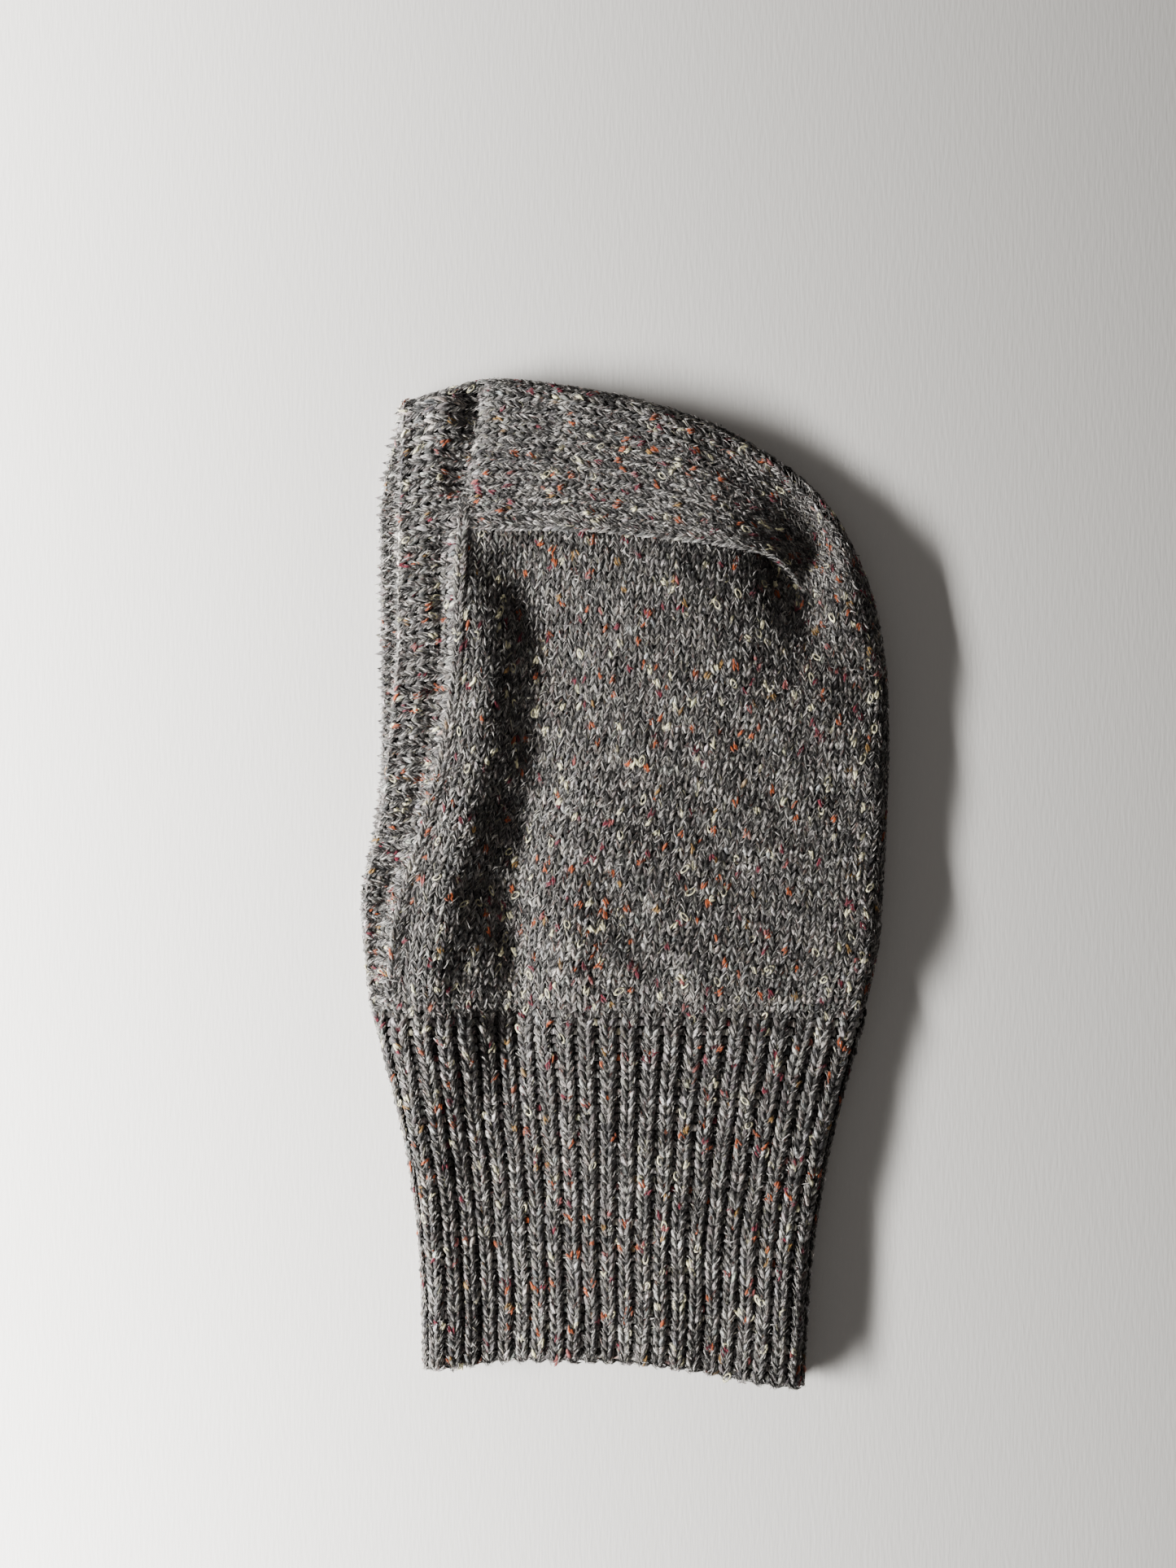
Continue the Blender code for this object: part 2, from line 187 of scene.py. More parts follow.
def shifted(line, distance):
    """The line moved sideways, to the left of its own direction."""
    along = np.gradient(line, axis=0)
    side = np.stack([-along[:, 1], along[:, 0]], -1)
    return line + side / np.linalg.norm(side, axis=1)[:, None] * distance


def kept(line, test):
    """The stretch of a line whose points pass the test."""
    fine = at(line, np.linspace(0, 1, 1200))
    return fine[test(fine)]


def smooth_step(value):
    value = np.clip(value, 0, 1)
    return value * value * (3 - 2 * value)


def span(value, start, rise, end, fall):
    """1 from start to end, with a smooth rise after the start and a smooth fall after the end."""
    return smooth_step((value - start) / rise) * (1 - smooth_step((value - end) / fall))


def bell(distance, width):
    return np.exp(-(distance / width) ** 2)


def x_at(line, y):
    return np.interp(y, line[:, 1], line[:, 0])


def is_behind(points, line):
    """Whether each point lies further back than the line does at its height."""
    return points[:, 0] > x_at(line, points[:, 1])


def front_x():
    return CAD_LOW.x


def neck_y():
    return CAD_HIGH.y - shape().rise


def hood_line(shares):
    depth = CAD_HIGH.x - CAD_LOW.x
    return smooth_line([(front_x() + x * depth, neck_y() + y * shape().rise) for x, y in shares])


def band_width(y):
    """Width of the face band: narrow under the chin, flared over the crown."""
    share = (y - neck_y()) / shape().rise
    chin = 0.32 + 0.68 * np.sin(np.pi / 2 * np.clip(share / 0.60, 0, 1))
    return shape().band_width * chin + shape().band_flare * smooth_step((share - 0.80) / 0.15)


class Layer:
    """The outlines on one layer, which differ only at the face edge."""

    def __init__(self, face_edge):
        self.outline = hood_line(BACK_AND_CROWN)
        self.fold = shifted(self.outline, shape().fabric / 2 + FOLD_ROOM)
        edge = hood_line(face_edge)
        up = np.array([[0.0, 0.02]])
        self.edge = np.vstack([edge, edge[-1:] + up])
        self.band_seam = self.edge + np.stack([band_width(self.edge[:, 1]), 0 * self.edge[:, 1]], -1)
        self.crown_seam = self.find_crown_seam()

    def find_crown_seam(self):
        """From the face band back to the panel's rear end, below the crown fold."""
        rear = neck_y() + shape().crown_rear_height
        crown = kept(self.outline, lambda p: (p[:, 1] > rear) & is_behind(p, self.band_seam))[::-1]
        share = np.array([0.0, 0.25, 0.5, 0.75, 0.9, 1.0])
        along = at(crown, share + 0.02) - at(crown, share - 0.02)
        inward = np.stack([along[:, 1], -along[:, 0]], -1) / np.linalg.norm(along, axis=1)[:, None]
        width = shape().crown_width + (shape().crown_rear_width - shape().crown_width) * share ** 1.6
        points = at(crown, share) + inward * width[:, None]
        points[0, 0] = x_at(self.band_seam, points[0, 1])
        points[:, 1] += TIP_RISE * smooth_step((share - 0.55) / 0.45)
        return smooth_line(points)


def patch(start, end, side_0, side_1):
    """A flat surface between four lines: start and end run across, the sides from start to end."""
    corner = [at(line, share) for line in (start, end) for share in (0, 1)]

    def point(across, along):
        across, along = np.broadcast_arrays(across, along)
        a, b = across[..., None], along[..., None]
        ruled = at(start, across) * (1 - b) + at(end, across) * b
        sides = at(side_0, along) * (1 - a) + at(side_1, along) * a
        low = corner[0] * (1 - a) + corner[1] * a
        high = corner[2] * (1 - a) + corner[3] * a
        return ruled + sides - low * (1 - b) - high * b

    return point


def strip(start, end):
    return patch(start, end, np.array([start[0], end[0]]), np.array([start[-1], end[-1]]))


# The lie of the cloth

# At heights over the neck line: the foot of the fold behind the face band, from the front, and its depth
FACE_FOLD = (
    (-0.040, 0.062, 0.0), (-0.010, 0.065, 0.0070), (0.016, 0.069, 0.0088), (0.040, 0.068, 0.0090),
    (0.057, 0.065, 0.0090), (0.078, 0.070, 0.0090), (0.098, 0.0745, 0.0086), (0.118, 0.077, 0.0082),
    (0.140, 0.080, 0.0080), (0.160, 0.077, 0.0076), (0.178, 0.074, 0.0068), (0.188, 0.071, 0.0052),
    (0.200, 0.069, 0.0034), (0.214, 0.068, 0.0016), (0.230, 0.068, 0.0),
)
# The same for the fold at the back of the crown
CROWN_FOLD = (
    (0.130, 0.186, 0.0), (0.152, 0.190, 0.0030), (0.166, 0.192, 0.0066), (0.178, 0.192, 0.0084),
    (0.196, 0.193, 0.0088), (0.211, 0.192, 0.0086), (0.226, 0.183, 0.0070), (0.242, 0.166, 0.0032),
    (0.262, 0.146, 0.0),
)
# Soft swells and hollows: place behind the front and over the neck line, reach each way, height
SWELLS = (
    (0.162, 0.150, 0.037, 0.033, 0.0066), (0.142, 0.185, 0.026, 0.021, 0.0032),
    (0.159, 0.064, 0.022, 0.013, -0.0018), (0.120, 0.080, 0.020, 0.020, 0.0008),
    (0.208, 0.196, 0.009, 0.028, 0.0014), (0.028, -0.075, 0.012, 0.080, 0.0030),
    (0.064, -0.070, 0.022, 0.075, -0.0050), (0.178, 0.140, 0.014, 0.010, 0.0010),
    (0.087, 0.036, 0.012, 0.030, 0.0026), (0.021, 0.020, 0.014, 0.028, 0.0012),
    (0.129, 0.062, 0.022, 0.014, 0.0022), (0.120, 0.036, 0.016, 0.026, -0.0012),
)


def foot(table, up):
    """Where a fold has its foot, from the front."""
    heights, feet, _ = zip(*table)
    return np.interp(up, heights, feet)


def fold(behind, up, table, before, after):
    """A hollow along a fold's foot, with its reach before the foot and after it."""
    heights, _, depths = zip(*table)
    across = behind - foot(table, up)
    return -np.interp(up, heights, depths) * bell(across, np.where(across < 0, before, after))


class Lie:
    """How high the upper layer lies over the lower one, and its relief."""

    def __init__(self, upper):
        self.upper = upper

    def rise(self, x, y):
        """Height of the upper layer's middle over the lower layer's, where the hood is smooth."""
        s = shape()
        up = y - neck_y()
        hood = smooth_step(up / 0.050 + 0.5)
        loft = s.neck_loft + (s.hood_loft - s.neck_loft) * hood
        edge_y = np.clip(y, neck_y(), neck_y() + s.rise * 0.96)
        face = (1 - smooth_step((x - x_at(self.upper.edge, edge_y)) / 0.055)) * hood
        back = smooth_step((x - 0.082) / 0.030) * hood
        return loft + (s.face_loft - loft) * face - 0.0012 * back - s.fabric

    def relief(self, x, y, crown=False):
        """Ridges, hollows and soft creases of the upper layer."""
        up = y - neck_y()
        behind_seam = x - x_at(self.upper.band_seam, y)
        return (self.folds(x - front_x(), up) + self.band_groove(behind_seam, up)
                + self.panel_edge(x, y, crown) + self.creases(x, y, up))

    @staticmethod
    def folds(behind, up):
        """The folds behind the face and at the back of the crown, and the swells round them."""
        after = 0.0150 + 0.0085 * span(up, 0.100, 0.03, 0.180, 0.02)
        total = fold(behind, up, FACE_FOLD, 0.0150, after) + fold(behind, up, CROWN_FOLD, 0.0200, 0.0095)
        # A crest stands in front of the face's fold, further from it low down
        ahead = 0.0375 - 0.0095 * smooth_step((up - 0.015) / 0.055)
        crest = bell(behind - foot(FACE_FOLD, up) + ahead, 0.0092)
        total = total + 0.0045 * crest * span(up, -0.012, 0.03, 0.175, 0.03)
        for at_x, at_y, reach_x, reach_y, height in SWELLS:
            total = total + height * bell(behind - at_x, reach_x) * bell(up - at_y, reach_y)
        # The rib is drawn in, and the hood swells over it
        return total - 0.0034 * bell(up + 0.001, 0.006) + 0.0016 * bell(up - 0.026, 0.014)

    @staticmethod
    def band_groove(behind_seam, up):
        """The band's seam: a groove over the crown, and a raised wale with hollows beside the face."""
        groove = bell(behind_seam, np.where(behind_seam < 0, 0.0105, 0.0040))
        raised = bell(behind_seam + 0.0165, 0.0080)
        over_crown = (0.0016 * raised - 0.0054 * groove) * smooth_step((up - 0.214) / 0.014)
        wale = 0.0012 * bell(behind_seam + 0.0010, 0.0045)
        hollow = (0.0020 + 0.0020 * bell(up - 0.180, 0.022)) * bell(behind_seam + 0.0085, 0.0048)
        dip = 0.0015 * bell(behind_seam + 0.0045, 0.0115)
        return over_crown + (wale - hollow - dip) * span(up, 0.0, 0.02, 0.200, 0.018)

    def panel_edge(self, x, y, crown):
        """The crown panel's edge, which stands over the body, most of all at its rear."""
        seam = self.upper.crown_seam
        drop = np.interp(x, seam[:, 0], seam[:, 1]) - y
        on_seam = span(x, -0.066, 0.02, 0.060, 0.018)
        near_rear = smooth_step((x - 0.005) / 0.045) * on_seam
        if crown:
            tip = 0.0030 * bell(x - 0.063, 0.0110) * bell(y - 0.137, 0.0100)
            return (0.0008 * on_seam + 0.0016 * near_rear) * bell(drop, 0.012) + tip
        return -(0.0012 * on_seam + 0.0028 * near_rear) * bell(drop - 0.002, 0.012)

    @staticmethod
    def creases(x, y, up):
        """The waves of the hem, and the unevenness of soft cloth."""
        hem = np.sin(2 * np.pi * (x - front_x() - 0.072) / 0.047) * bell(y - CAD_LOW.y - 0.010, 0.030)
        broad = np.sin(x * 95 + 2.0 + 1.3 * np.sin(y * 41)) * np.sin(y * 63 + 0.6)
        fine = np.sin(x * 210 + y * 120) * smooth_step((up + 0.01) / 0.03)
        high = bell(y - 0.019 + (x - 0.03) * 0.15, 0.0045) * bell(x - 0.028, 0.020)
        low = bell(y + 0.024 - (x - 0.03) * 0.35, 0.005) * bell(x - 0.032, 0.018)
        return 0.0013 * hem + 0.0006 * broad + 0.0003 * fine - 0.0014 * high - 0.0012 * low


class Cloth:
    """A knitted sheet over both layers: a fine grid of places with even spacing across.

    u runs over the upper layer, round the fold and back under the lower layer. v runs the
    way the fabric was knitted. Both go from 0 to 1.
    """

    ROWS, COLUMNS = 120, 720

    def __init__(self, lie, upper, lower, closed, crown=False):
        """A closed sheet is folded at both ends of the upper layer's row, and an open one at its end."""
        self.closed = closed
        share = np.linspace(0, 1, 500)
        share = (1 - np.cos(np.pi * share)) / 2 if closed else np.sin(np.pi / 2 * share)
        rows = []
        for v in np.linspace(0, 1, self.ROWS):
            over = self.layer_row(lie, upper(share, v), True, crown)
            under = self.layer_row(lie, lower(share, v), False, crown)
            row = np.vstack([over, under[::-1][1:]])
            rows.append(at(row, np.linspace(0, 1, self.COLUMNS + 1)))
        self.grid = np.array(rows)
        across = np.gradient(self.grid, axis=1) * self.COLUMNS
        if self.closed:
            across[:, 0] = across[:, -1] = (across[:, 0] + across[:, -1]) / 2
        along = np.gradient(self.grid, axis=0) * (self.ROWS - 1)
        normal = np.cross(across, along)
        self.normal = normal / np.linalg.norm(normal, axis=2)[..., None]
        self.across, self.along = across, along

    def layer_row(self, lie, flat, is_upper, crown):
        """One row of a layer, raised off its flat outline and rounded at its folds."""
        x, y = flat[:, 0], flat[:, 1]
        half = lie.rise(x, y) / 2
        depth = np.ones(len(flat))
        for end in (0, -1) if self.closed else (-1,):
            reach = half[end] * FOLD_REACH
            depth = np.minimum(depth, np.linalg.norm(flat - flat[end], axis=1) / reach)
        swell = np.sqrt(np.clip(1 - (1 - depth) ** 2, 0, 1))
        middle = shape().fabric / 2 + half
        if is_upper:
            z = middle + (half + lie.relief(x, y, crown)) * swell
        else:
            z = middle - half * swell
        return np.column_stack([x, y, z])

    def look(self, table, u, v):
        """Read a grid at u and v, with a blend between its four nearest points."""
        u = np.mod(u, 1.0) if self.closed else np.clip(u, 0, 1)
        column = u * self.COLUMNS
        row = np.clip(v, 0, 1) * (self.ROWS - 1)
        c = np.minimum(column.astype(int), self.COLUMNS - 1)
        r = np.minimum(row.astype(int), self.ROWS - 2)
        a, b = (column - c)[:, None], (row - r)[:, None]
        low = table[r, c] * (1 - a) + table[r, c + 1] * a
        high = table[r + 1, c] * (1 - a) + table[r + 1, c + 1] * a
        return low * (1 - b) + high * b

    def frames(self, u, v):
        """Place, turn and stretch of the cloth at u and v."""
        place = self.look(self.grid, u, v)
        across, along = self.look(self.across, u, v), self.look(self.along, u, v)
        up = self.look(self.normal, u, v)
        up /= np.linalg.norm(up, axis=1)[:, None]
        width, height = np.linalg.norm(across, axis=1), np.linalg.norm(along, axis=1)
        y_axis = along - up * np.sum(along * up, axis=1)[:, None]
        y_axis /= np.linalg.norm(y_axis, axis=1)[:, None]
        x_axis = np.cross(y_axis, up)
        return place, np.stack([x_axis, y_axis, up], -1), width, height

    def flat_size(self):
        wide = np.linalg.norm(np.diff(self.grid, axis=1), axis=2).sum(axis=1)
        tall = np.linalg.norm(np.diff(self.grid, axis=0), axis=2).sum(axis=0)
        return float(wide.mean()), float(tall.mean()), float(wide.max()), float(tall.max())


def make_cloths():
    """Every sheet of the hood, by name."""
    upper, lower = Layer(UPPER_FACE_EDGE), Layer(LOWER_FACE_EDGE)
    lie = Lie(upper)
    s = shape()
    inset = s.fabric / 2

    def both(outline, closed, crown=False):
        return Cloth(lie, outline(upper), outline(lower), closed, crown)

    top_front, top_back = upper.edge[0, 0] + inset, upper.outline[0, 0] - inset
    middle = (top_front + top_back) / 2 - s.hem_setback
    hem_front, hem_back = middle - s.hem_width / 2 + inset, middle + s.hem_width / 2 - inset
    hem = smooth_line([(hem_front + (hem_back - hem_front) * t, CAD_LOW.y + lift) for t, lift in HEM_WAVE])
    down = np.linspace(1, 0, 60)
    sides = []
    for top, foot, draw, base in ((top_front, hem_front, s.neck_waist, hem[0, 1]),
                                  (top_back, hem_back, -s.neck_waist, hem[-1, 1])):
        x = top + (foot - top) * down + draw * np.sin(np.pi * down)
        sides.append(np.column_stack([x, neck_y() + (base - neck_y()) * down]))
    neck_line = np.array([sides[0][-1], sides[1][-1]])
    neck = patch(hem, neck_line, *sides)

    def body(layer):
        top = kept(layer.crown_seam, lambda p: is_behind(p, layer.band_seam))
        left = kept(layer.band_seam, lambda p: (p[:, 1] > neck_y()) & (p[:, 1] < top[0, 1]))
        rear = kept(layer.fold, lambda p: (p[:, 1] > neck_y()) & (p[:, 1] < neck_y() + s.crown_rear_height))
        top = np.vstack([top, smooth_line([top[-1], (top[-1] + rear[-1]) / 2, rear[-1]])[1:]])
        return patch(np.array([left[0], rear[0]]), top, left, rear)

    def crown(layer):
        rear = neck_y() + s.crown_rear_height - 0.003
        low = kept(layer.crown_seam, lambda p: is_behind(p, layer.band_seam))
        high = kept(layer.fold, lambda p: (p[:, 1] > rear) & is_behind(p, layer.band_seam))
        front = kept(layer.band_seam, lambda p: (p[:, 1] > low[0, 1]) & (p[:, 1] < high[-1, 1]))
        low = np.vstack([low, low[-1:] + (low[-1:] - low[-4:-3])])
        return patch(np.array([low[-1], high[0]]), front, low[::-1], high)

    def ring(layer, start, end):
        fold_line = layer.fold[layer.fold[:, 0] < 0]
        fold_line = fold_line[np.argsort(fold_line[:, 0])]
        chin = neck_y() + inset

        def inside(p):
            return (p[:, 1] > chin) & (p[:, 1] < np.interp(p[:, 0], fold_line[:, 0], fold_line[:, 1]))

        return strip(kept(start, inside), kept(end, inside))

    def band(layer):
        return ring(layer, layer.band_seam, shifted(layer.edge, -0.001))

    def band_chain(layer):
        return ring(layer, shifted(layer.band_seam, -0.0032), shifted(layer.band_seam, 0.0032))

    return {
        "neck": both(lambda layer: neck, True), "body": both(body, False), "crown": both(crown, False, True),
        "band": both(band, True), "band_chain": both(band_chain, True),
    }


CLOTHS = {}


def cloths():
    if not CLOTHS:
        CLOTHS.update(make_cloths())
    return CLOTHS


# Meshes

def settle(mesh):
    """Press what hangs below the hood flat against the surface that it lies on."""
    place = np.empty(len(mesh.vertices) * 3, np.float32)
    mesh.vertices.foreach_get("co", place)
    height = place[2::3]
    low = height < PRESSED_HEIGHT
    height[low] = PRESSED_HEIGHT * np.exp(height[low] / PRESSED_HEIGHT - 1)
    mesh.vertices.foreach_set("co", place)


def new_mesh_object(name, mesh):
    made = bpy.data.objects.new(name, mesh)
    bpy.context.scene.collection.objects.link(made)
    return made


def backing(name, cloth, columns, rows, sink, wales, courses, wave):
    """The closed sheet behind the stitches: the yarn that runs at the back of the fabric."""
    u = np.linspace(0, 1, columns + 1)[:-1 if cloth.closed else None]
    v = np.linspace(0, 1, rows + 1)
    count = len(u)
    uu, vv = [a.ravel() for a in np.meshgrid(u, v)]
    place, turn, _, _ = cloth.frames(uu, vv)
    up = turn[:, :, 2]
    ripple = wave * np.cos(2 * np.pi * uu * wales)[:, None]
    outer = place + up * (BACKING_THICKNESS / 2 - sink + ripple)
    inner = place - up * (BACKING_THICKNESS / 2 + sink)
    shift = len(outer)
    grid = np.arange(shift).reshape(rows + 1, count)
    if cloth.closed:
        grid = np.hstack([grid, grid[:, :1]])
    front = np.stack([grid[:-1, :-1], grid[:-1, 1:], grid[1:, 1:], grid[1:, :-1]], -1).reshape(-1, 4)
    edges = [grid[0, ::-1], grid[-1]] + ([] if cloth.closed else [grid[:, 0], grid[::-1, -1]])
    rims = [np.column_stack([line[:-1], line[1:], line[1:] + shift, line[:-1] + shift]) for line in edges]
    mesh = bpy.data.meshes.new(name)
    mesh.from_pydata(
        np.vstack([outer, inner]).tolist(), [], np.vstack([front, front[:, ::-1] + shift, *rims]).tolist()
    )
    mesh.shade_smooth()
    settle(mesh)
    knit = mesh.attributes.new("knit_place", "FLOAT_VECTOR", "POINT")
    side = np.concatenate([np.ones(shift), np.zeros(shift)])
    knit.data.foreach_set("vector", np.column_stack([
        np.tile(uu * wales, 2), np.tile(vv * courses, 2), side,
    ]).astype(np.float32).ravel())
    return new_mesh_object(name, mesh)


def strand_object(name, vertices, faces, corners, straight):
    """A prototype strand, with its unrolled map and its own straightened coordinates."""
    mesh = bpy.data.meshes.new(name)
    mesh.from_pydata([tuple(v) for v in vertices], [], faces)
    mesh.shade_smooth()
    place = mesh.attributes.new("yarn_place", "FLOAT_VECTOR", "POINT")
    place.data.foreach_set("vector", np.array(straight, np.float32).ravel())
    unrolled = mesh.uv_layers.new(name="OFBake")
    unrolled.uv.foreach_set("vector", np.array(corners, np.float32).ravel())
    return new_mesh_object(name, mesh)


def spindle(name, points, radii, sides):
    """A short closed strand through the points, pointed at both ends."""
    points = np.asarray(points, float)
    vertices, faces = [points[0]], []
    angle = np.arange(sides) * 2 * np.pi / sides
    for index in range(1, len(points) - 1):
        along = points[index + 1] - points[index - 1]
        along /= np.linalg.norm(along)
        side = np.cross(along, (0, 0, 1.0))
        side /= np.linalg.norm(side)
        up = np.cross(side, along)
        for a in angle:
            offset = side * np.cos(a) + up * np.sin(a)
            vertices.append(points[index] + offset * radii[index - 1])
    vertices.append(points[-1])
    rings = len(points) - 2
    corners = []
    for k in range(sides):
        n = (k + 1) % sides
        left, right = k / sides, (k + 1) / sides
        faces.append((0, 1 + n, 1 + k))
        corners += [((left + right) / 2, 0), (right, 1 / (rings + 1)), (left, 1 / (rings + 1))]
        for ring in range(rings - 1):
            a = 1 + ring * sides
            b = a + sides
            low, high = (ring + 1) / (rings + 1), (ring + 2) / (rings + 1)
            faces.append((a + k, a + n, b + n, b + k))
            corners += [(left, low), (right, low), (right, high), (left, high)]
        a = 1 + (rings - 1) * sides
        faces.append((a + k, a + n, len(vertices) - 1))
        corners += [(left, rings / (rings + 1)), (right, rings / (rings + 1)), ((left + right) / 2, 1)]
    across, along, _ = points[-1] - points[0]
    lean = across / along if along else 0.0
    straight = [(v[0] - v[1] * lean, v[1], v[2]) for v in vertices]
    return strand_object(name, vertices, faces, corners, straight)


def loop(name, around, sides, thick):
    """A small closed loop of yarn, from 0 to 1 along y."""
    turn = np.arange(around) * 2 * np.pi / around
    tube = np.arange(sides) * 2 * np.pi / sides
    ring = list(zip(0.42 + thick * np.cos(tube), thick * np.sin(tube) + 0.2))
    vertices = [(out * np.sin(a), 0.5 - out * np.cos(a), z) for a in turn for out, z in ring]
    faces, corners = [], []
    for i in range(around):
        for j in range(sides):
            a, b = i * sides + j, i * sides + (j + 1) % sides
            c, d = ((i + 1) % around) * sides + (j + 1) % sides, ((i + 1) % around) * sides + j
            faces.append((a, d, c, b))
            low, high, left, right = i / around, (i + 1) / around, j / sides, (j + 1) / sides
            corners += [(left, low), (left, high), (right, high), (right, low)]
    return strand_object(name, vertices, faces, corners, vertices)


def leg(name, side):
    """One leg of a knitted V, in units of a wale across, a course along and a yarn high."""
    points = ((0.04, -0.46, -0.45), (0.12, -0.05, 0.06), (0.24, 0.40, 0.24), (0.36, 0.84, 0.05),
              (0.47, 1.24, -0.50))
    return spindle(name, [(x * side, y, z) for x, y, z in points], (0.165, 0.21, 0.17), 4)


def add(tree, kind, links=None, **settings):
    """Add a node with its settings, values and links."""
    made = tree.nodes.new(kind)
    for name, value in settings.items():
        setattr(made, name, value)
    for name, value in (links or {}).items():
        socket = made.inputs[name]
        if isinstance(value, bpy.types.NodeSocket):
            tree.links.new(value, socket)
        else:
            socket.default_value = value
    return made


def laying_tree(kinds):
    """A tree that lays one strand of each kind on the points marked for it."""
    tree = bpy.data.node_groups.new("Lay strands", "GeometryNodeTree")
    face = tree.interface
    inputs = {"Points": "Geometry", "Fullness": "Float", "Yarn": "Material"}
    inputs |= {f"Strand {number}": "Object" for number in range(kinds)}
    for socket, form in inputs.items():
        face.new_socket(socket, in_out="INPUT", socket_type="NodeSocket" + form)
    face.new_socket("Strands", in_out="OUTPUT", socket_type="NodeSocketGeometry")
    source = add(tree, "NodeGroupInput")
    turn, size, kind = [
        add(tree, "GeometryNodeInputNamedAttribute", {"Name": name}, data_type=form).outputs["Attribute"]
        for name, form in (("turn", "FLOAT_VECTOR"), ("size", "FLOAT_VECTOR"), ("kind", "INT"))
    ]
    full = add(tree, "ShaderNodeVectorMath", {0: size, "Scale": source.outputs["Fullness"]},
               operation="SCALE")
    joined = add(tree, "GeometryNodeJoinGeometry")
    for number in range(kinds):
        strand = add(tree, "GeometryNodeObjectInfo", {"Object": source.outputs[f"Strand {number}"]})
        chosen = add(tree, "FunctionNodeCompare", {2: kind, 3: number}, data_type="INT", operation="EQUAL")
        laid = add(tree, "GeometryNodeInstanceOnPoints", {
            "Points": source.outputs["Points"], "Selection": chosen.outputs["Result"],
            "Instance": strand.outputs["Geometry"], "Rotation": turn,
            "Scale": full.outputs["Vector"],
        })
        tree.links.new(laid.outputs["Instances"], joined.inputs["Geometry"])
    real = add(tree, "GeometryNodeRealizeInstances", {"Geometry": joined.outputs["Geometry"]})
    dyed = add(tree, "GeometryNodeSetMaterial", {
        "Geometry": real.outputs["Geometry"], "Material": source.outputs["Yarn"],
    })
    add(tree, "NodeGroupOutput", {"Strands": dyed.outputs["Geometry"]})
    return tree


def spread_map(mesh, count):
    """Give each strand its own cell of the piece's map."""
    strand = np.empty(len(mesh.vertices), np.int32)
    mesh.attributes["strand"].data.foreach_get("value", strand)
    corner = np.empty(len(mesh.loops), np.int32)
    mesh.loops.foreach_get("vertex_index", corner)
    local = np.empty(len(mesh.loops) * 2, np.float32)
    unrolled = mesh.uv_layers["OFBake"]
    unrolled.uv.foreach_get("vector", local)
    cells = int(np.ceil(np.sqrt(count)))
    cell = strand[corner]
    column_row = np.stack([cell % cells, cell // cells], -1)
    margin = 0.06
    placed = (column_row + margin + local.reshape(-1, 2) * (1 - 2 * margin)) / cells
    unrolled.uv.foreach_set("vector", placed.astype(np.float32).ravel())


def euler_of(turn):
    """XYZ Euler angles of rotation matrices."""
    y = -np.arcsin(np.clip(turn[:, 2, 0], -1, 1))
    x = np.arctan2(turn[:, 2, 1], turn[:, 2, 2])
    z = np.arctan2(turn[:, 1, 0], turn[:, 0, 0])
    return np.column_stack([x, y, z])


def lay(name, kit, place, turn, size, kind, colours, seed, marl):
    """Lay a kit of strands on points, and return them as one plain mesh object."""
    kit = strands(kit)
    count = len(place)
    mesh = bpy.data.meshes.new(name + "_points")
    mesh.vertices.add(count)
    mesh.vertices.foreach_set("co", place.astype(np.float32).ravel())
    for key, form, field, values in (
        ("turn", "FLOAT_VECTOR", "vector", euler_of(turn)), ("size", "FLOAT_VECTOR", "vector", size),
        ("kind", "INT", "value", kind), ("yarn_colour", "FLOAT_COLOR", "color", colours),
        ("seed", "FLOAT", "value", seed), ("marl", "FLOAT", "value", marl),
        ("strand", "INT", "value", np.arange(count)),
    ):
        layer = mesh.attributes.new(key, form, "POINT")
        dtype = np.int32 if form == "INT" else np.float32
        layer.data.foreach_set(field, np.ascontiguousarray(values, dtype).ravel())
    points = new_mesh_object(name + "_points", mesh)
    tree = laying_tree(len(kit))
    modifier = points.modifiers.new("strands", "NODES")
    modifier.node_group = tree
    values = {f"Strand {number}": strand for number, strand in enumerate(kit)}
    values |= {"Fullness": 1.0, "Yarn": material("yarn")}
    for item in tree.interface.items_tree:
        if item.in_out == "INPUT" and item.name in values:
            modifier[item.identifier] = values[item.name]
    graph = bpy.context.evaluated_depsgraph_get()
    whole = bpy.data.meshes.new_from_object(points.evaluated_get(graph))
    settle(whole)
    spread_map(whole, count)
    for spare in ("turn", "size", "kind", "strand"):
        whole.attributes.remove(whole.attributes[spare])
    whole.name = name
    bpy.data.objects.remove(points)
    if not whole.polygons:
        raise RuntimeError(f"{name} has no strands")
    whole.shade_smooth()
    return new_mesh_object(name, whole)


# Yarn colours

def flecked(dice, amount):
    """Each colour of the tweed's flecks, and which strands it falls on."""
    y = yarn()
    edge = 0.0
    for fleck, chance in ((y.orange, 0.020), (y.wine, 0.016), (y.cream, 0.022), (y.straw, 0.009),
                          (y.pink, 0.009)):
        chance *= amount
        yield np.array(fleck[:]), (dice >= edge) & (dice < edge + chance)
        edge += chance


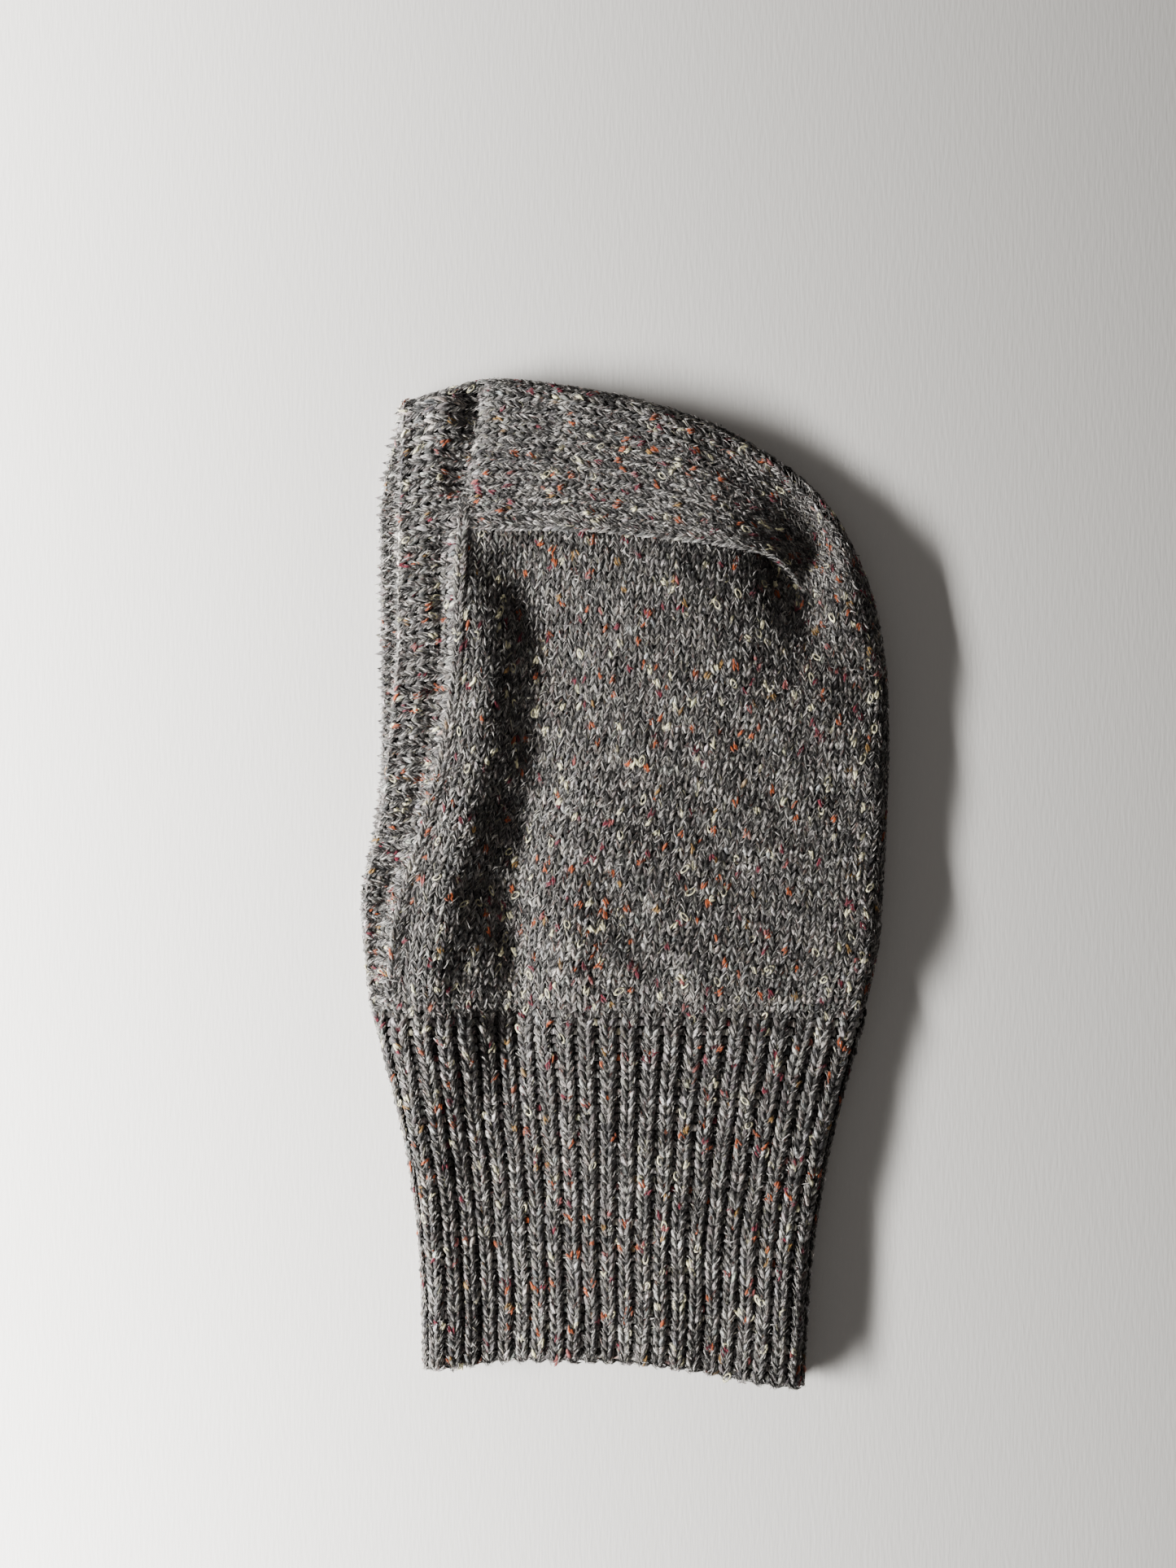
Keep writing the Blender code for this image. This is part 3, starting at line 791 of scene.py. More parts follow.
def dye(random, count, flecks=1.0):
    """Colour, marl and seed of each strand, in the order in which the yarn was knitted."""
    y = yarn()
    dark, mid, light = (np.array(c[:]) for c in (y.charcoal, y.grey, y.silver))
    # Strands in a run of five are alike, as the marl's plies turn slowly
    run_length = 5
    tone = random.normal(0, 1, count + run_length)
    tone = np.convolve(tone, np.ones(run_length) / run_length, "valid")[:count] * np.sqrt(run_length)
    tone = np.clip(0.42 + 0.20 * tone + random.normal(0, 0.16, count), 0, 1)[:, None]
    low = dark * (1 - tone * 2) + mid * tone * 2
    high = mid * (2 - tone * 2) + light * (tone * 2 - 1)
    colours = np.where(tone < 0.5, low, high)
    marl = np.ones(count)
    for fleck, hit in flecked(random.random(count), flecks):
        strength = random.uniform(0.45, 1.0, count)[:, None]
        colours = np.where(hit[:, None], colours * (1 - strength) + fleck * strength, colours)
        marl = np.where(hit, 0.45, marl)
    colours[:, 0] *= 1 + random.normal(0, 0.05, count)
    colours[:, 2] *= 1 + random.normal(0, 0.05, count)
    colours[:, 3] = 1.0
    return colours, random.random(count) * 40, marl


def mottle(values, amount, random):
    return values * (1 + random.normal(0, amount, values.shape))


# Stitches

# Turns a frame over about its y axis, for the inside of a fabric
TURNED_OVER = np.array([-1.0, 1.0, -1.0])


def knit(name, cloth, wales, courses, u_range, random, lift, yarn_high, wide, every=1, wander=0.0,
         v_range=(0, 1), inside=False, fade=0.0):
    """Knit V stitches on a cloth: two legs for each stitch, wale by wale and course by course."""
    wale, course = np.meshgrid(np.arange(0, wales, every), np.arange(courses))
    wale, course = wale.ravel(), course.ravel()
    u = (wale + 0.5) / wales
    chosen = (u >= u_range[0]) & (u < u_range[1])
    chosen &= (course >= v_range[0] * courses) & (course < v_range[1] * courses)
    wale, course, u = wale[chosen], course[chosen], u[chosen]
    v = (course + 0.35) / courses
    drift = wander * (np.sin(v * 9 + wale * 1.7) + 0.6 * np.sin(v * 23 + wale * 0.9)) / wales
    u, v = np.repeat(u + drift, 2), np.repeat(v, 2)
    side = np.tile([0, 1], len(wale))
    stray_across, stray_along, stray_up = 0.035, 0.05, 0.00014
    u = u + random.normal(0, stray_across, len(u)) / wales
    v = np.clip(v + random.normal(0, stray_along, len(v)) / courses, 0, 1)
    place, turn, width, height = cloth.frames(u, v)
    if inside:
        turn = turn * TURNED_OVER
    sink = fade * smooth_step((v - 0.955) / 0.045)
    place = place + turn[:, :, 2] * (lift - sink + random.normal(0, stray_up, len(u)))[:, None]
    spread = wide * (1 + 0.35 * smooth_step((v - 0.93) / 0.07) * (fade > 0))
    size = np.column_stack([
        mottle(width / wales * spread, 0.06, random), mottle(height / courses, 0.06, random),
        mottle(np.full(len(u), yarn_high), 0.08, random),
    ])
    colours, seed, marl = dye(random, len(u), flecks=0.25)
    return lay(name, "legs", place, turn, size, side, colours, seed, marl)


def purl(name, cloth, ribs, courses, u_range, random, lift):
    """Purl bumps in the columns between the raised knit wales of a rib."""
    column, course = np.meshgrid(np.arange(ribs), np.arange(courses))
    u = (column.ravel() + 0.75) / ribs
    v = (course.ravel() + 0.5) / courses
    chosen = (u >= u_range[0]) & (u < u_range[1])
    u, v = u[chosen], v[chosen]
    place, turn, width, height = cloth.frames(u, v)
    place = place + turn[:, :, 2] * (lift + 0.0009 * smooth_step((v - 0.93) / 0.07))[:, None]
    size = np.column_stack([width / ribs * 0.55, height / courses * 2.2, np.full(len(u), 0.004)])
    colours, seed, marl = dye(random, len(u), flecks=0.4)
    return lay(name, "bump", place, turn, size, np.zeros(len(u)), colours, seed, marl)


def chain(name, place, turn, pitch, width, high, random, pale):
    """A chain of V stitches along a line of frames."""
    place, turn = np.repeat(place, 2, axis=0), np.repeat(turn, 2, axis=0)
    side = np.tile([0, 1], len(place) // 2)
    size = np.tile([width, pitch, high], (len(place), 1))
    colours, seed, marl = dye(random, len(place))
    # Paleness lightens the chain's colour: on the face band's cast-off it is a painted highlight for the edge
    # that faces the light
    colours[:, :3] *= pale
    return lay(name, "legs", place, turn, mottle(size, 0.05, random), side, colours, seed, marl)


def line_frames(points, up, pitch):
    """Frames spaced a pitch apart along a line, with their y axis along it."""
    total = run(points)[-1]
    count = max(2, round(total / pitch))
    share = (np.arange(count) + 0.5) / count
    place = at(points, share)
    ahead = at(points, share + 0.3 / count) - at(points, share - 0.3 / count)
    ahead /= np.linalg.norm(ahead, axis=1)[:, None]
    over = at(up, share)
    over -= ahead * np.sum(over * ahead, axis=1)[:, None]
    over /= np.linalg.norm(over, axis=1)[:, None]
    return place, np.stack([np.cross(ahead, over), ahead, over], -1)


def beside_wales(cloth, wales, count, u_range, random, wide=1.0, every=1, reach=0.47, v_range=(0, 1)):
    """Random places on the legs of the V stitches, with the side and the height of each."""
    first, last = round(u_range[0] * wales / every), round(u_range[1] * wales / every)
    wale = random.integers(first, last, count) * every
    side = random.choice([-1, 1], count)
    off = random.uniform(0.02, reach, count)
    v = random.uniform(*v_range, count)
    u = (wale + 0.5 + off * side * wide) / wales
    place, turn, _, _ = cloth.frames(u, v)
    crest = 1 - ((off - 0.24) / 0.24) ** 2
    return place, turn, side, crest


def tilted(turn, angle, pitch):
    """Frames turned about their own up axis, then tipped up out of the cloth."""
    x_axis, y_axis, up = turn[:, :, 0], turn[:, :, 1], turn[:, :, 2]
    c, s = np.cos(angle)[:, None], np.sin(angle)[:, None]
    ahead, across = y_axis * c + x_axis * s, x_axis * c - y_axis * s
    cp, sp = np.cos(pitch)[:, None], np.sin(pitch)[:, None]
    return np.stack([across, ahead * cp + up * sp, up * cp - ahead * sp], -1)


def brush(name, place, turn, side, lift, random, lean=0.47):
    """Loose fibres brushed out of the yarn, most of them along the legs of the stitches."""
    count = len(place)
    thick, shortest, longest, stray_share = 0.00031, 0.0024, 0.0048, 0.07
    angle = side * random.normal(lean, 0.13, count) + random.normal(0, 0.08, count)
    pitch = random.normal(0.03, 0.14, count)
    stray = random.random(count) < stray_share
    angle = np.where(stray, random.uniform(-np.pi, np.pi, count), angle)
    pitch = np.where(stray, random.uniform(-0.1, 0.5, count), pitch)
    size = np.column_stack([
        random.uniform(0.6, 1.4, count) * thick, random.uniform(shortest, longest, count),
        random.uniform(0.6, 1.2, count) * thick,
    ])
    lifted = place + turn[:, :, 2] * (lift + random.uniform(-0.0003, 0.0005, count))[:, None]
    turn = tilted(turn, angle, pitch)
    lifted = lifted - turn[:, :, 1] * size[:, 1:2] / 2
    y = yarn()
    # The dark fibres take the near-black colour that is painted shade on the backing
    dark, mid, light = (np.array(c[:]) for c in (y.shadow, y.grey, y.silver))
    pick = random.random(count)[:, None]
    shade = random.uniform(0.6, 2.0, count)[:, None]
    dark_until, grey_until = 0.42, 0.64
    colours = np.where(pick < dark_until, dark, np.where(pick < grey_until, mid, light)) * shade
    for fleck, hit in flecked(random.random(count), 0.9):
        colours = np.where(hit[:, None], fleck * 0.35 + colours * 0.4, colours)
    colours = np.clip(colours, 0, 1)
    colours[:, 3] = 1
    kind = random.choice(3, count, p=(0.84, 0.08, 0.08))
    return lay(name, "fibres", lifted, turn, size, kind, colours, random.random(count), np.zeros(count))


def neps(name, place, turn, side, lift, random):
    """Coloured neps of the tweed: small tufts of a few strands, and cream ones that stand in open loops."""
    y = yarn()
    # Colour, share of the neps, and whether it is a loop
    kinds = ((y.orange, 0.23, 0), (y.wine, 0.25, 0), (y.cream, 0.21, 0), (y.cream, 0.15, 1),
             (y.straw, 0.10, 0), (y.pink, 0.06, 0))
    pick = random.choice(len(kinds), len(place), p=[share for _, share, _ in kinds])
    is_loop = np.array([kinds[k][2] for k in pick])
    strands_each = 4
    nep = np.repeat(np.arange(len(place)), np.where(is_loop == 1, 1, strands_each))
    place, turn, side, lift, pick, is_loop = (a[nep] for a in (place, turn, side, lift, pick, is_loop))
    count = len(nep)
    colours = np.array([kinds[k][0][:] for k in pick]) * random.uniform(0.50, 1.1, count)[:, None]
    colours = np.clip(colours, 0, 1)
    colours[:, 3] = 1
    loose = (is_loop == 0)[:, None]
    spread_across, spread_along = 0.00055, 0.00060
    spot = place + turn[:, :, 0] * random.normal(0, spread_across, count)[:, None] * loose
    spot = spot + turn[:, :, 1] * random.normal(0, spread_along, count)[:, None] * loose
    turn = tilted(turn, side * random.normal(0.42, 0.3, count), random.normal(0.02, 0.14, count))
    tuft, ring = (
        np.column_stack([random.uniform(low, high, count) for low, high in sizes])
        for sizes in (((0.0008, 0.0014), (0.0024, 0.0042), (0.0006, 0.0010)),
                      ((0.0018, 0.0026), (0.0036, 0.0052), (0.0008, 0.0012)))
    )
    size = np.where(loose, tuft, ring)
    lifted = spot + turn[:, :, 2] * lift[:, None] - turn[:, :, 1] * size[:, 1:2] / 2
    return lay(name, "neps", lifted, turn, size, is_loop, colours, random.random(count) * 40,
               np.full(count, 0.5))


# Materials

def start_material(name, roughness, specular=0.5):
    """A material, its tree and its shader."""
    made = bpy.data.materials.new(name)
    made.use_nodes = True
    shader = made.node_tree.nodes["Principled BSDF"]
    shader.inputs["Roughness"].default_value = roughness
    shader.inputs["Specular IOR Level"].default_value = specular
    return made, made.node_tree, shader


def yarn_material():
    """Brushed tweed wool: matt, marled in streaks along each strand, with a soft sheen of loose fibre."""
    made, tree, shader = start_material("brushed_tweed_wool", 0.88, 0.2)
    shader.inputs["Sheen Weight"].default_value = 0.38
    shader.inputs["Sheen Roughness"].default_value = 0.5
    dyed, place, seed, marl = (
        add(tree, "ShaderNodeAttribute", attribute_name=name)
        for name in ("yarn_colour", "yarn_place", "seed", "marl")
    )
    # Fibres are about half a millimetre apart across a strand and run most of its length
    stretched = add(tree, "ShaderNodeVectorMath", {0: place.outputs["Vector"], 1: (8.0, 1.3, 6.0)},
                    operation="MULTIPLY")
    moved = add(tree, "ShaderNodeVectorMath", {0: stretched.outputs["Vector"], 1: seed.outputs["Fac"]},
                operation="ADD")
    streaks = add(tree, "ShaderNodeTexNoise",
                  {"Vector": moved.outputs["Vector"], "Scale": 1.0, "Detail": 2.0, "Roughness": 0.6})
    spread = add(tree, "ShaderNodeMapRange", {
        "Value": streaks.outputs["Fac"], "From Min": 0.37, "From Max": 0.64, "To Min": -0.90, "To Max": 1.45,
    })
    amount = add(tree, "ShaderNodeMath", {0: spread.outputs["Result"], 1: marl.outputs["Fac"]},
                 operation="MULTIPLY")
    factor = add(tree, "ShaderNodeMath", {0: amount.outputs["Value"], 1: 1.0}, operation="ADD")
    shade = add(tree, "ShaderNodeVectorMath",
                {0: dyed.outputs["Color"], "Scale": factor.outputs["Value"]}, operation="SCALE")
    tree.links.new(shade.outputs["Vector"], shader.inputs["Base Color"])
    bump = add(tree, "ShaderNodeBump",
               {"Height": streaks.outputs["Fac"], "Strength": 0.5, "Distance": 0.0006})
    tree.links.new(bump.outputs["Normal"], shader.inputs["Normal"])
    return made


def backing_material():
    """The purl side of the same wool: low bumps in rows, coloured with painted shade: near black, and darker
    still where the bumps sink, for the shade between the stitches.
    """
    made, tree, shader = start_material("wool_backing_painted_shade", 0.95, 0.1)
    place = add(tree, "ShaderNodeAttribute", attribute_name="knit_place")
    noise = add(tree, "ShaderNodeTexNoise",
                {"Vector": place.outputs["Vector"], "Scale": 3.1, "Detail": 3.0, "Roughness": 0.7})
    # Painted shade: the ramp takes the near-black shade colour from 0.45 to 1.6 times, darker where the same
    # noise sinks the bump
    ramp = add(tree, "ShaderNodeValToRGB", {"Fac": noise.outputs["Fac"]})
    for stop, position, shade in zip(ramp.color_ramp.elements, (0.35, 0.7), (0.45, 1.6)):
        stop.position = position
        stop.color = tuple(c * shade for c in yarn().shadow[:3]) + (1,)
    tree.links.new(ramp.outputs["Color"], shader.inputs["Base Color"])
    bump = add(tree, "ShaderNodeBump", {"Height": noise.outputs["Fac"], "Strength": 0.6, "Distance": 0.001})
    tree.links.new(bump.outputs["Normal"], shader.inputs["Normal"])
    return made


def canvas_material():
    """Primed artist's canvas: a plain weave about half a millimetre a thread, matt and pale."""
    made, tree, shader = start_material("primed_canvas", 0.85)
    shader.inputs["Base Color"].default_value = yarn().canvas[:]
    place = add(tree, "ShaderNodeTexCoord")
    # The warp is drawn coarser than its threads, about two millimetres apart, so that it shows at all
    drawn = add(tree, "ShaderNodeVectorMath", {0: place.outputs["Object"], 1: (760.0, 110.0, 1.0)},
                operation="MULTIPLY")
    warp = add(tree, "ShaderNodeTexNoise", {"Vector": drawn.outputs["Vector"], "Scale": 1.0, "Detail": 1.0})
    bump = add(tree, "ShaderNodeBump", {"Height": warp.outputs["Fac"], "Strength": 0.22, "Distance": 0.0004})
    tree.links.new(bump.outputs["Normal"], shader.inputs["Normal"])
    return made


MATERIALS = {}


def material(name):
    if not MATERIALS:
        MATERIALS.update(yarn=yarn_material(), backing=backing_material())
    return MATERIALS[name]


STRANDS = {}


def strands(name):
    """The strands that the stitches and the fuzz are made of, built once; main removes them at the end."""
    if not STRANDS:
        STRANDS["legs"] = [leg("leg_left", -1), leg("leg_right", 1)]
        STRANDS["bump"] = [spindle("purl_bump", (
            (0.5, 0.0, -0.5), (0.25, 0.08, 0.0), (0.0, 0.14, 0.15), (-0.25, 0.08, 0.0), (-0.5, 0.0, -0.5),
        ), (0.16, 0.2, 0.16), 5)]
        STRANDS["fibres"] = [spindle(name, points, radii, 3) for name, points, radii in (
            ("fibre_straight", [(0, 0, 0), (0.15, 0.45, 0.25), (0, 1, 0)], (0.5,)),
            ("fibre_bent", [(0, 0, 0), (0.8, 0.33, 0.6), (0.5, 0.7, 0.7), (-0.8, 1, 0.2)], (0.5, 0.42)),
            ("fibre_curled", [(0, 0, 0), (-1.0, 0.3, 0.4), (-0.6, 0.66, 0.9), (1.2, 1, 0.6)], (0.5, 0.42)),
        )]
        STRANDS["neps"] = [
            spindle("nep_strand", [(0, 0, -0.3), (0.12, 0.3, 0.15), (0.08, 0.7, 0.15), (-0.1, 1, -0.3)],
                    (0.5, 0.5), 4),
            loop("nep_loop", 10, 3, 0.16),
        ]
    return STRANDS[name]


def rides(piece):
    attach(piece, "root")
    return piece


def back_sheet(node, key, repeat, course, columns_each, rows_each=1, sink=0.0008, wave=0.0, widest=False):
    """Count a sheet's stitches and make its backing."""
    cloth = cloths()[key]
    width, tall, most, _ = cloth.flat_size()
    across, courses = round((most if widest else width) / repeat), round(tall / course)
    sheet = rides(backing(node + "_backing", cloth, across * columns_each, courses * rows_each, sink,
                          across, courses, wave))
    # The backing's material is painted shade, near black between the stitches
    sheet.data.materials.append(material("backing"))
    return sheet, cloth, across, courses


def declare_sheet(piece, cloth, node, with_pieces):
    width, tall, widest, longest = cloth.flat_size()
    for stitches in with_pieces:
        rides(stitches)
    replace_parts(piece, node)


def work_chain(name, node, place, up, pitch, width, high, random, hairs=15, across=(0.02, 0.45),
               lift=0.0013, lean=0.47, pale=1.0):
    """Work a chain of stitches along a line, and brush fibres out of it."""
    places, turns = line_frames(place, up, pitch)
    piece = chain(name + "_chain", places, turns, pitch, width, high, random, pale)
    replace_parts(rides(piece), node)
    many = np.repeat(np.arange(len(places)), hairs)
    side = random.choice([-1, 1], len(many))
    turn = turns[many]
    spot = places[many] + turn[:, :, 0] * (side * random.uniform(*across, len(many)) * width)[:, None]
    spot = spot + turn[:, :, 1] * (random.uniform(-0.5, 0.5, len(many)) * pitch)[:, None]
    fuzz = brush(name + "_fuzz", spot, turn, side, np.full(len(many), lift), random, lean)
    rides(fuzz)


# Of each sheet: wales from one raised wale to the next, and the width of a V over its wale
WALES = {"neck": (2, 1.40), "body": (1, 1.05), "crown": (1, 1.05), "band": (2, 1.5)}
WHOLE, LEFT, RIGHT = (0.0, 1.0), (0.0, 0.5), (0.5, 1.0)
# Height of the stitches over the cloth, and of their yarn, in stocking stitch
PLAIN_LIFT, PLAIN_YARN = 0.0004, 0.0036


# Operators

class HOOD_OT_neck(bpy.types.Operator):
    """Knit the neck rib: raised knit wales with purl wales sunk between them"""
    bl_idname = "hood.neck"
    bl_label = "Neck rib"

    def execute(self, context):
        random = np.random.default_rng(11)
        every, wide = WALES["neck"]
        sheet, cloth, ribs, courses = back_sheet(
            "neck_rib", "neck", gauge().rib_repeat, gauge().rib_course, 6, wave=0.0006)
        made = []
        for half, u_range in (("left", LEFT), ("right", RIGHT)):
            made.append(knit(f"neck_rib_stitches_{half}", cloth, ribs * 2, courses, u_range, random, 0.0010,
                             0.0042, wide, every, wander=0.12, fade=0.0012))
            made.append(purl(f"neck_rib_purl_{half}", cloth, ribs, courses, u_range, random, -0.0003))
        # The inside shows only at the hem
        made.append(knit("neck_rib_inside", cloth, ribs * 2, courses, WHOLE, random, 0.0016, 0.0034, 1.56,
                         every, v_range=(0, 0.12), inside=True))
        declare_sheet(sheet, cloth, "neck_rib", made)
        return {"FINISHED"}


class HOOD_OT_body(bpy.types.Operator):
    """Knit the stocking-stitch body, round the back of the head from one side of the face to the other"""
    bl_idname = "hood.body"
    bl_label = "Hood body"

    def execute(self, context):
        random = np.random.default_rng(12)
        every, wide = WALES["body"]
        sheet, cloth, wales, courses = back_sheet("hood_body", "body", gauge().wale, gauge().course, 2)
        made = [
            knit(f"hood_body_stitches_{half}", cloth, wales, courses, u_range, random, PLAIN_LIFT, PLAIN_YARN,
                 wide, every, wander=0.08)
            for half, u_range in (("left", LEFT), ("right", RIGHT))
        ]
        declare_sheet(sheet, cloth, "hood_body", made)
        return {"FINISHED"}


class HOOD_OT_crown(bpy.types.Operator):
    """Knit the crown panel, from the back of the head over the crown to the face band"""
    bl_idname = "hood.crown"
    bl_label = "Crown panel"

    def execute(self, context):
        random = np.random.default_rng(13)
        every, wide = WALES["crown"]
        sheet, cloth, wales, courses = back_sheet(
            "crown_panel", "crown", gauge().wale, gauge().course, 3, widest=True)
        made = [knit("crown_panel_stitches", cloth, wales, courses, WHOLE, random, PLAIN_LIFT, PLAIN_YARN,
                     wide, every, wander=0.08)]
        declare_sheet(sheet, cloth, "crown_panel", made)
        return {"FINISHED"}


class HOOD_OT_band(bpy.types.Operator):
    """Knit the face band: rib worked outwards from the face opening's edge"""
    bl_idname = "hood.band"
    bl_label = "Face band"

    def execute(self, context):
        random = np.random.default_rng(14)
        every, wide = WALES["band"]
        sheet, cloth, ribs, courses = back_sheet(
            "face_band", "band", gauge().band_repeat, gauge().rib_course, 6, 2, 0.0006, 0.0005)
        made = [
            knit("face_band_stitches", cloth, ribs * 2, courses, WHOLE, random, 0.0007, 0.0036, wide, every,
                 wander=0.10),
            knit("face_band_inside", cloth, ribs * 2, courses, WHOLE, random, 0.0010, 0.0034, 1.2,
                 v_range=(0.35, 1), inside=True),
            purl("face_band_purl", cloth, ribs, courses, WHOLE, random, 0.0006),
        ]
        declare_sheet(sheet, cloth, "face_band", made)
        return {"FINISHED"}


class HOOD_OT_seams(bpy.types.Operator):
    """Work the chains along the crown seams and round the face band's seam"""
    bl_idname = "hood.seams"
    bl_label = "Seam chains"

    def execute(self, context):
        random = np.random.default_rng(15)
        pitch = gauge().chain
        v = np.linspace(0.16, 1.0, 200)
        for name, u in (("left_crown_seam", 0.004), ("right_crown_seam", 0.996)):
            place, turn, _, _ = cloths()["crown"].frames(np.full(len(v), u), v)
            up = turn[:, :, 2]
            work_chain(name, name, place + up * 0.0010, up, pitch, 0.0042, 0.0034, random)
        u = np.linspace(0, 1, 600)
        place, turn, _, _ = cloths()["band_chain"].frames(u, np.full(len(u), 0.5))
        up = turn[:, :, 2]
        # Over the crown the seam is drawn down into a groove
        over_crown = smooth_step((place[:, 1] - (CAD_HIGH.y - 0.062)) / 0.02)[:, None]
        place = place + up * (0.0012 - 0.0026 * over_crown)
        work_chain("face_band_seam", "face_band_seam", place, up, pitch * 1.05, 0.0052, 0.0038, random)
        return {"FINISHED"}


class HOOD_OT_edges(bpy.types.Operator):
    """Work the cast-on edge of the hem and the cast-off edge of the face band"""
    bl_idname = "hood.edges"
    bl_label = "Cast-on and cast-off edges"

    def execute(self, context):
        random = np.random.default_rng(16)
        u = np.linspace(0, 1, 800)
        # Name, sheet, which end of it, the chain's pitch, width and paleness (on the band's cast-off, a
        # painted highlight where its free edge faces the light), hairs, its scallop and inset
        for name, key, v, pitch, wide, pale, hairs, scallop, inset in (
            ("neck_cast_on", "neck", 0.0, 0.0042, 0.0040, 1.0, 22, 0.0008, 0.0012),
            ("face_band_cast_off", "band", 1.0, 0.0039, 0.0044, 1.7, 9, 0.0, 0.0002),
        ):
            cloth = cloths()[key]
            place, turn, _, _ = cloth.frames(u, np.full(len(u), v))
            outward = turn[:, :, 1] * (1 if v else -1)
            ribs = round(cloth.flat_size()[0] / gauge().rib_repeat)
            wave = scallop * np.cos(2 * np.pi * (u * ribs - 0.25)) - inset
            work_chain(name, name + "_edge", place + outward * wave[:, None], outward, pitch, wide, 0.0034,
                       random, hairs, (0, 0.55), 0.0008, 0.9, pale)
        return {"FINISHED"}


class HOOD_OT_fuzz(bpy.types.Operator):
    """Brush loose fibres out of the yarn all over the hood, and scatter the tweed's coloured neps"""
    bl_idname = "hood.fuzz"
    bl_label = "Fuzz and neps"

    def execute(self, context):
        random = np.random.default_rng(17)
        g = gauge()
        # Of each sheet: the width of a wale, the height of its fuzz, and how far it lies from a wale's middle
        sheets = {
            "body": (g.wale, 0.0008, 0.47), "crown": (g.wale, 0.0008, 0.47),
            "neck": (g.rib_repeat / 2, 0.0012, 0.52), "band": (g.band_repeat / 2, 0.0010, 0.52),
        }
        for name, key, u_range, fibres, tufts in (
            ("hood_body_front", "body", (0.0, 0.27), 26500, 250),
            ("hood_body_back", "body", (0.27, 0.55), 26500, 250),
            ("hood_body_right", "body", (0.55, 1.0), 5000, 260),
            ("crown_panel_left", "crown", (0.0, 0.58), 19000, 190),
            ("crown_panel_right", "crown", (0.58, 1.0), 2500, 90),
            ("neck_rib_front", "neck", (-0.04, 0.25), 24000, 185),
            ("neck_rib_back", "neck", (0.25, 0.54), 24000, 185),
            ("neck_rib_right", "neck", (0.54, 0.96), 4000, 190),
            ("face_band_left", "band", (-0.02, 0.52), 17000, 125),
            ("face_band_right", "band", (0.52, 0.98), 2500, 70),
        ):
            cloth, (every, wide), (wale, lift, reach) = cloths()[key], WALES[key], sheets[key]
            wales = round(cloth.flat_size()[0] / wale / every) * every
            place, turn, side, crest = beside_wales(cloth, wales, fibres, u_range, random, wide, every, reach)
            rides(brush(name + "_fuzz", place, turn, side, lift + 0.0007 * crest, random))
            place, turn, side, crest = beside_wales(cloth, wales, tufts, u_range, random, wide, every)
            rides(neps(name + "_neps", place, turn, side, lift + 0.0008 * crest, random))
        band = cloths()["band"]
        wales = round(band.flat_size()[0] / g.band_repeat * 2)
        place, turn, side, crest = beside_wales(band, wales, 6500, RIGHT, random, v_range=(0.55, 1.02))
        inside = turn * TURNED_OVER
        rides(brush("face_band_inside_fuzz", place, inside, side, 0.0016 + 0.0006 * crest, random))
        return {"FINISHED"}


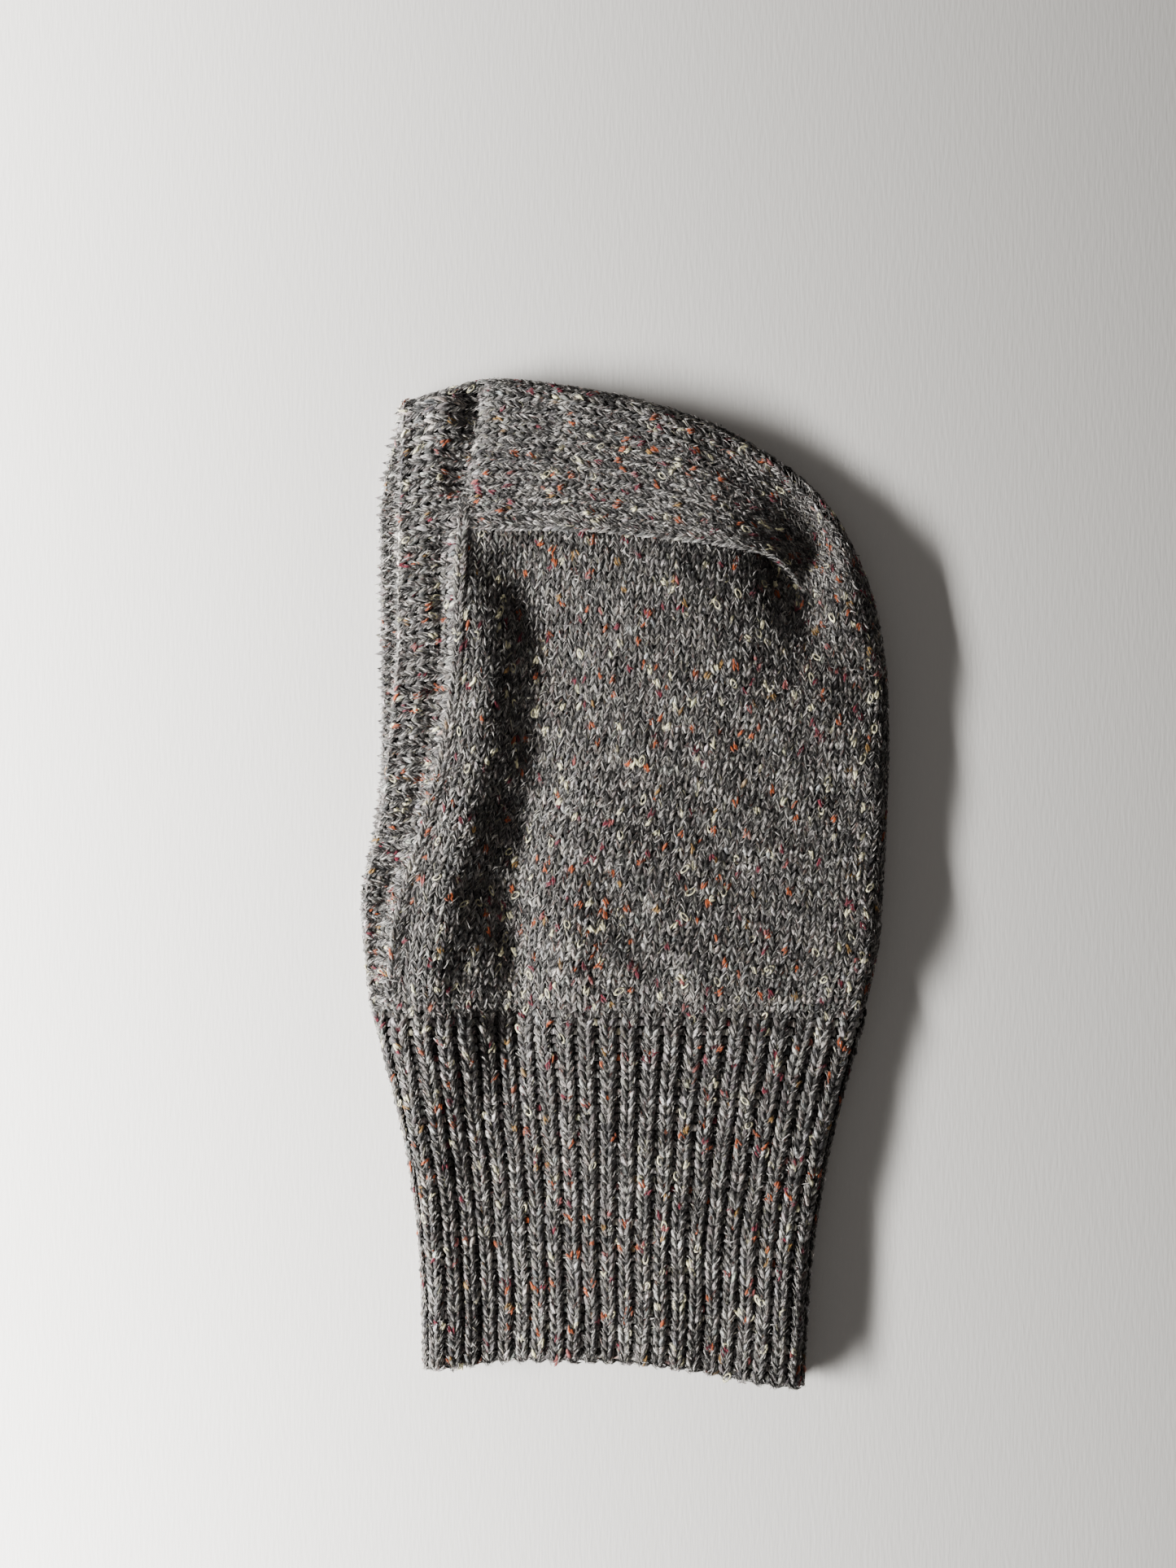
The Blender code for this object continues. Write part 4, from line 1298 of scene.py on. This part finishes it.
class HOOD_OT_stage(bpy.types.Operator):
    """Set the pale canvas, the window light and the camera over the hood"""
    bl_idname = "hood.stage"
    bl_label = "Stage"

    def execute(self, context):
        scene = context.scene
        mesh = bpy.data.meshes.new("canvas_sheet")
        half = 2.5
        corners = [(-half, -half, 0), (half, -half, 0), (half, half, 0), (-half, half, 0)]
        mesh.from_pydata(corners, [], [(0, 1, 2, 3)])
        floor = new_mesh_object("canvas_sheet", mesh)
        floor.data.materials.append(canvas_material())

        # A tall, narrow window low on the left, which rakes over the cloth
        window = bpy.data.lights.new("window", "AREA")
        window.shape = "RECTANGLE"
        window.size, window.size_y = 1.8, 0.10
        window.energy = 21.2
        window.spread = np.radians(60)
        window.color = (1.0, 0.985, 0.955)
        lamp = bpy.data.objects.new("window", window)
        lamp.location = (-0.82, -0.10, 0.385)
        lit = Vector((-0.36, 0.0, 0.0))
        lamp.rotation_euler = (lit - lamp.location).to_track_quat("-Z", "Y").to_euler()
        scene.collection.objects.link(lamp)

        scene.world = bpy.data.worlds.new("room_light")
        scene.world.use_nodes = True
        background = scene.world.node_tree.nodes["Background"]
        background.inputs["Color"].default_value = (0.95, 0.90, 0.86, 1)
        background.inputs["Strength"].default_value = 0.13

        data = bpy.data.cameras.new("overhead")
        scene.camera = bpy.data.objects.new("overhead", data)
        scene.collection.objects.link(scene.camera)
        away, seen_height, subject_height = 0.95, 0.6745, 0.009
        data.lens = data.sensor_width * away / seen_height
        data.clip_end = 10
        scene.camera.location = (-0.0163, 0.0416, subject_height + away)
        return {"FINISHED"}


class HOOD_PT_panel(bpy.types.Panel):
    """Sizes, colours and pieces of the hood"""
    bl_idname = "HOOD_PT_panel"
    bl_label = "Knitted hood"
    bl_space_type = "VIEW_3D"
    bl_region_type = "UI"
    bl_category = "Hood"

    def draw(self, context):
        for group in (shape(), gauge(), yarn()):
            box = self.layout.box()
            for name in group.__annotations__:
                box.prop(group, name)
        for operator in OPERATORS:
            self.layout.operator(operator.bl_idname)


OPERATORS = (
    HOOD_OT_stage, HOOD_OT_neck, HOOD_OT_body, HOOD_OT_crown, HOOD_OT_band, HOOD_OT_seams, HOOD_OT_edges,
    HOOD_OT_fuzz,
)
CLASSES = (HoodShape, YarnGauge, YarnColours, HOOD_PT_panel) + OPERATORS


def register():
    for item in CLASSES:
        bpy.utils.register_class(item)
    bpy.types.Scene.hood_shape = bpy.props.PointerProperty(type=HoodShape)
    bpy.types.Scene.hood_gauge = bpy.props.PointerProperty(type=YarnGauge)
    bpy.types.Scene.hood_yarn = bpy.props.PointerProperty(type=YarnColours)


def unregister():
    for name in ("hood_shape", "hood_gauge", "hood_yarn"):
        delattr(bpy.types.Scene, name)
    for item in reversed(CLASSES):
        bpy.utils.unregister_class(item)


def main():
    register()
    for operator in OPERATORS:
        group, name = operator.bl_idname.split(".")
        getattr(getattr(bpy.ops, group), name)()
    for kept_out in [strand for group in STRANDS.values() for strand in group]:
        bpy.data.objects.remove(kept_out)


if __name__ == "__main__":
    main()
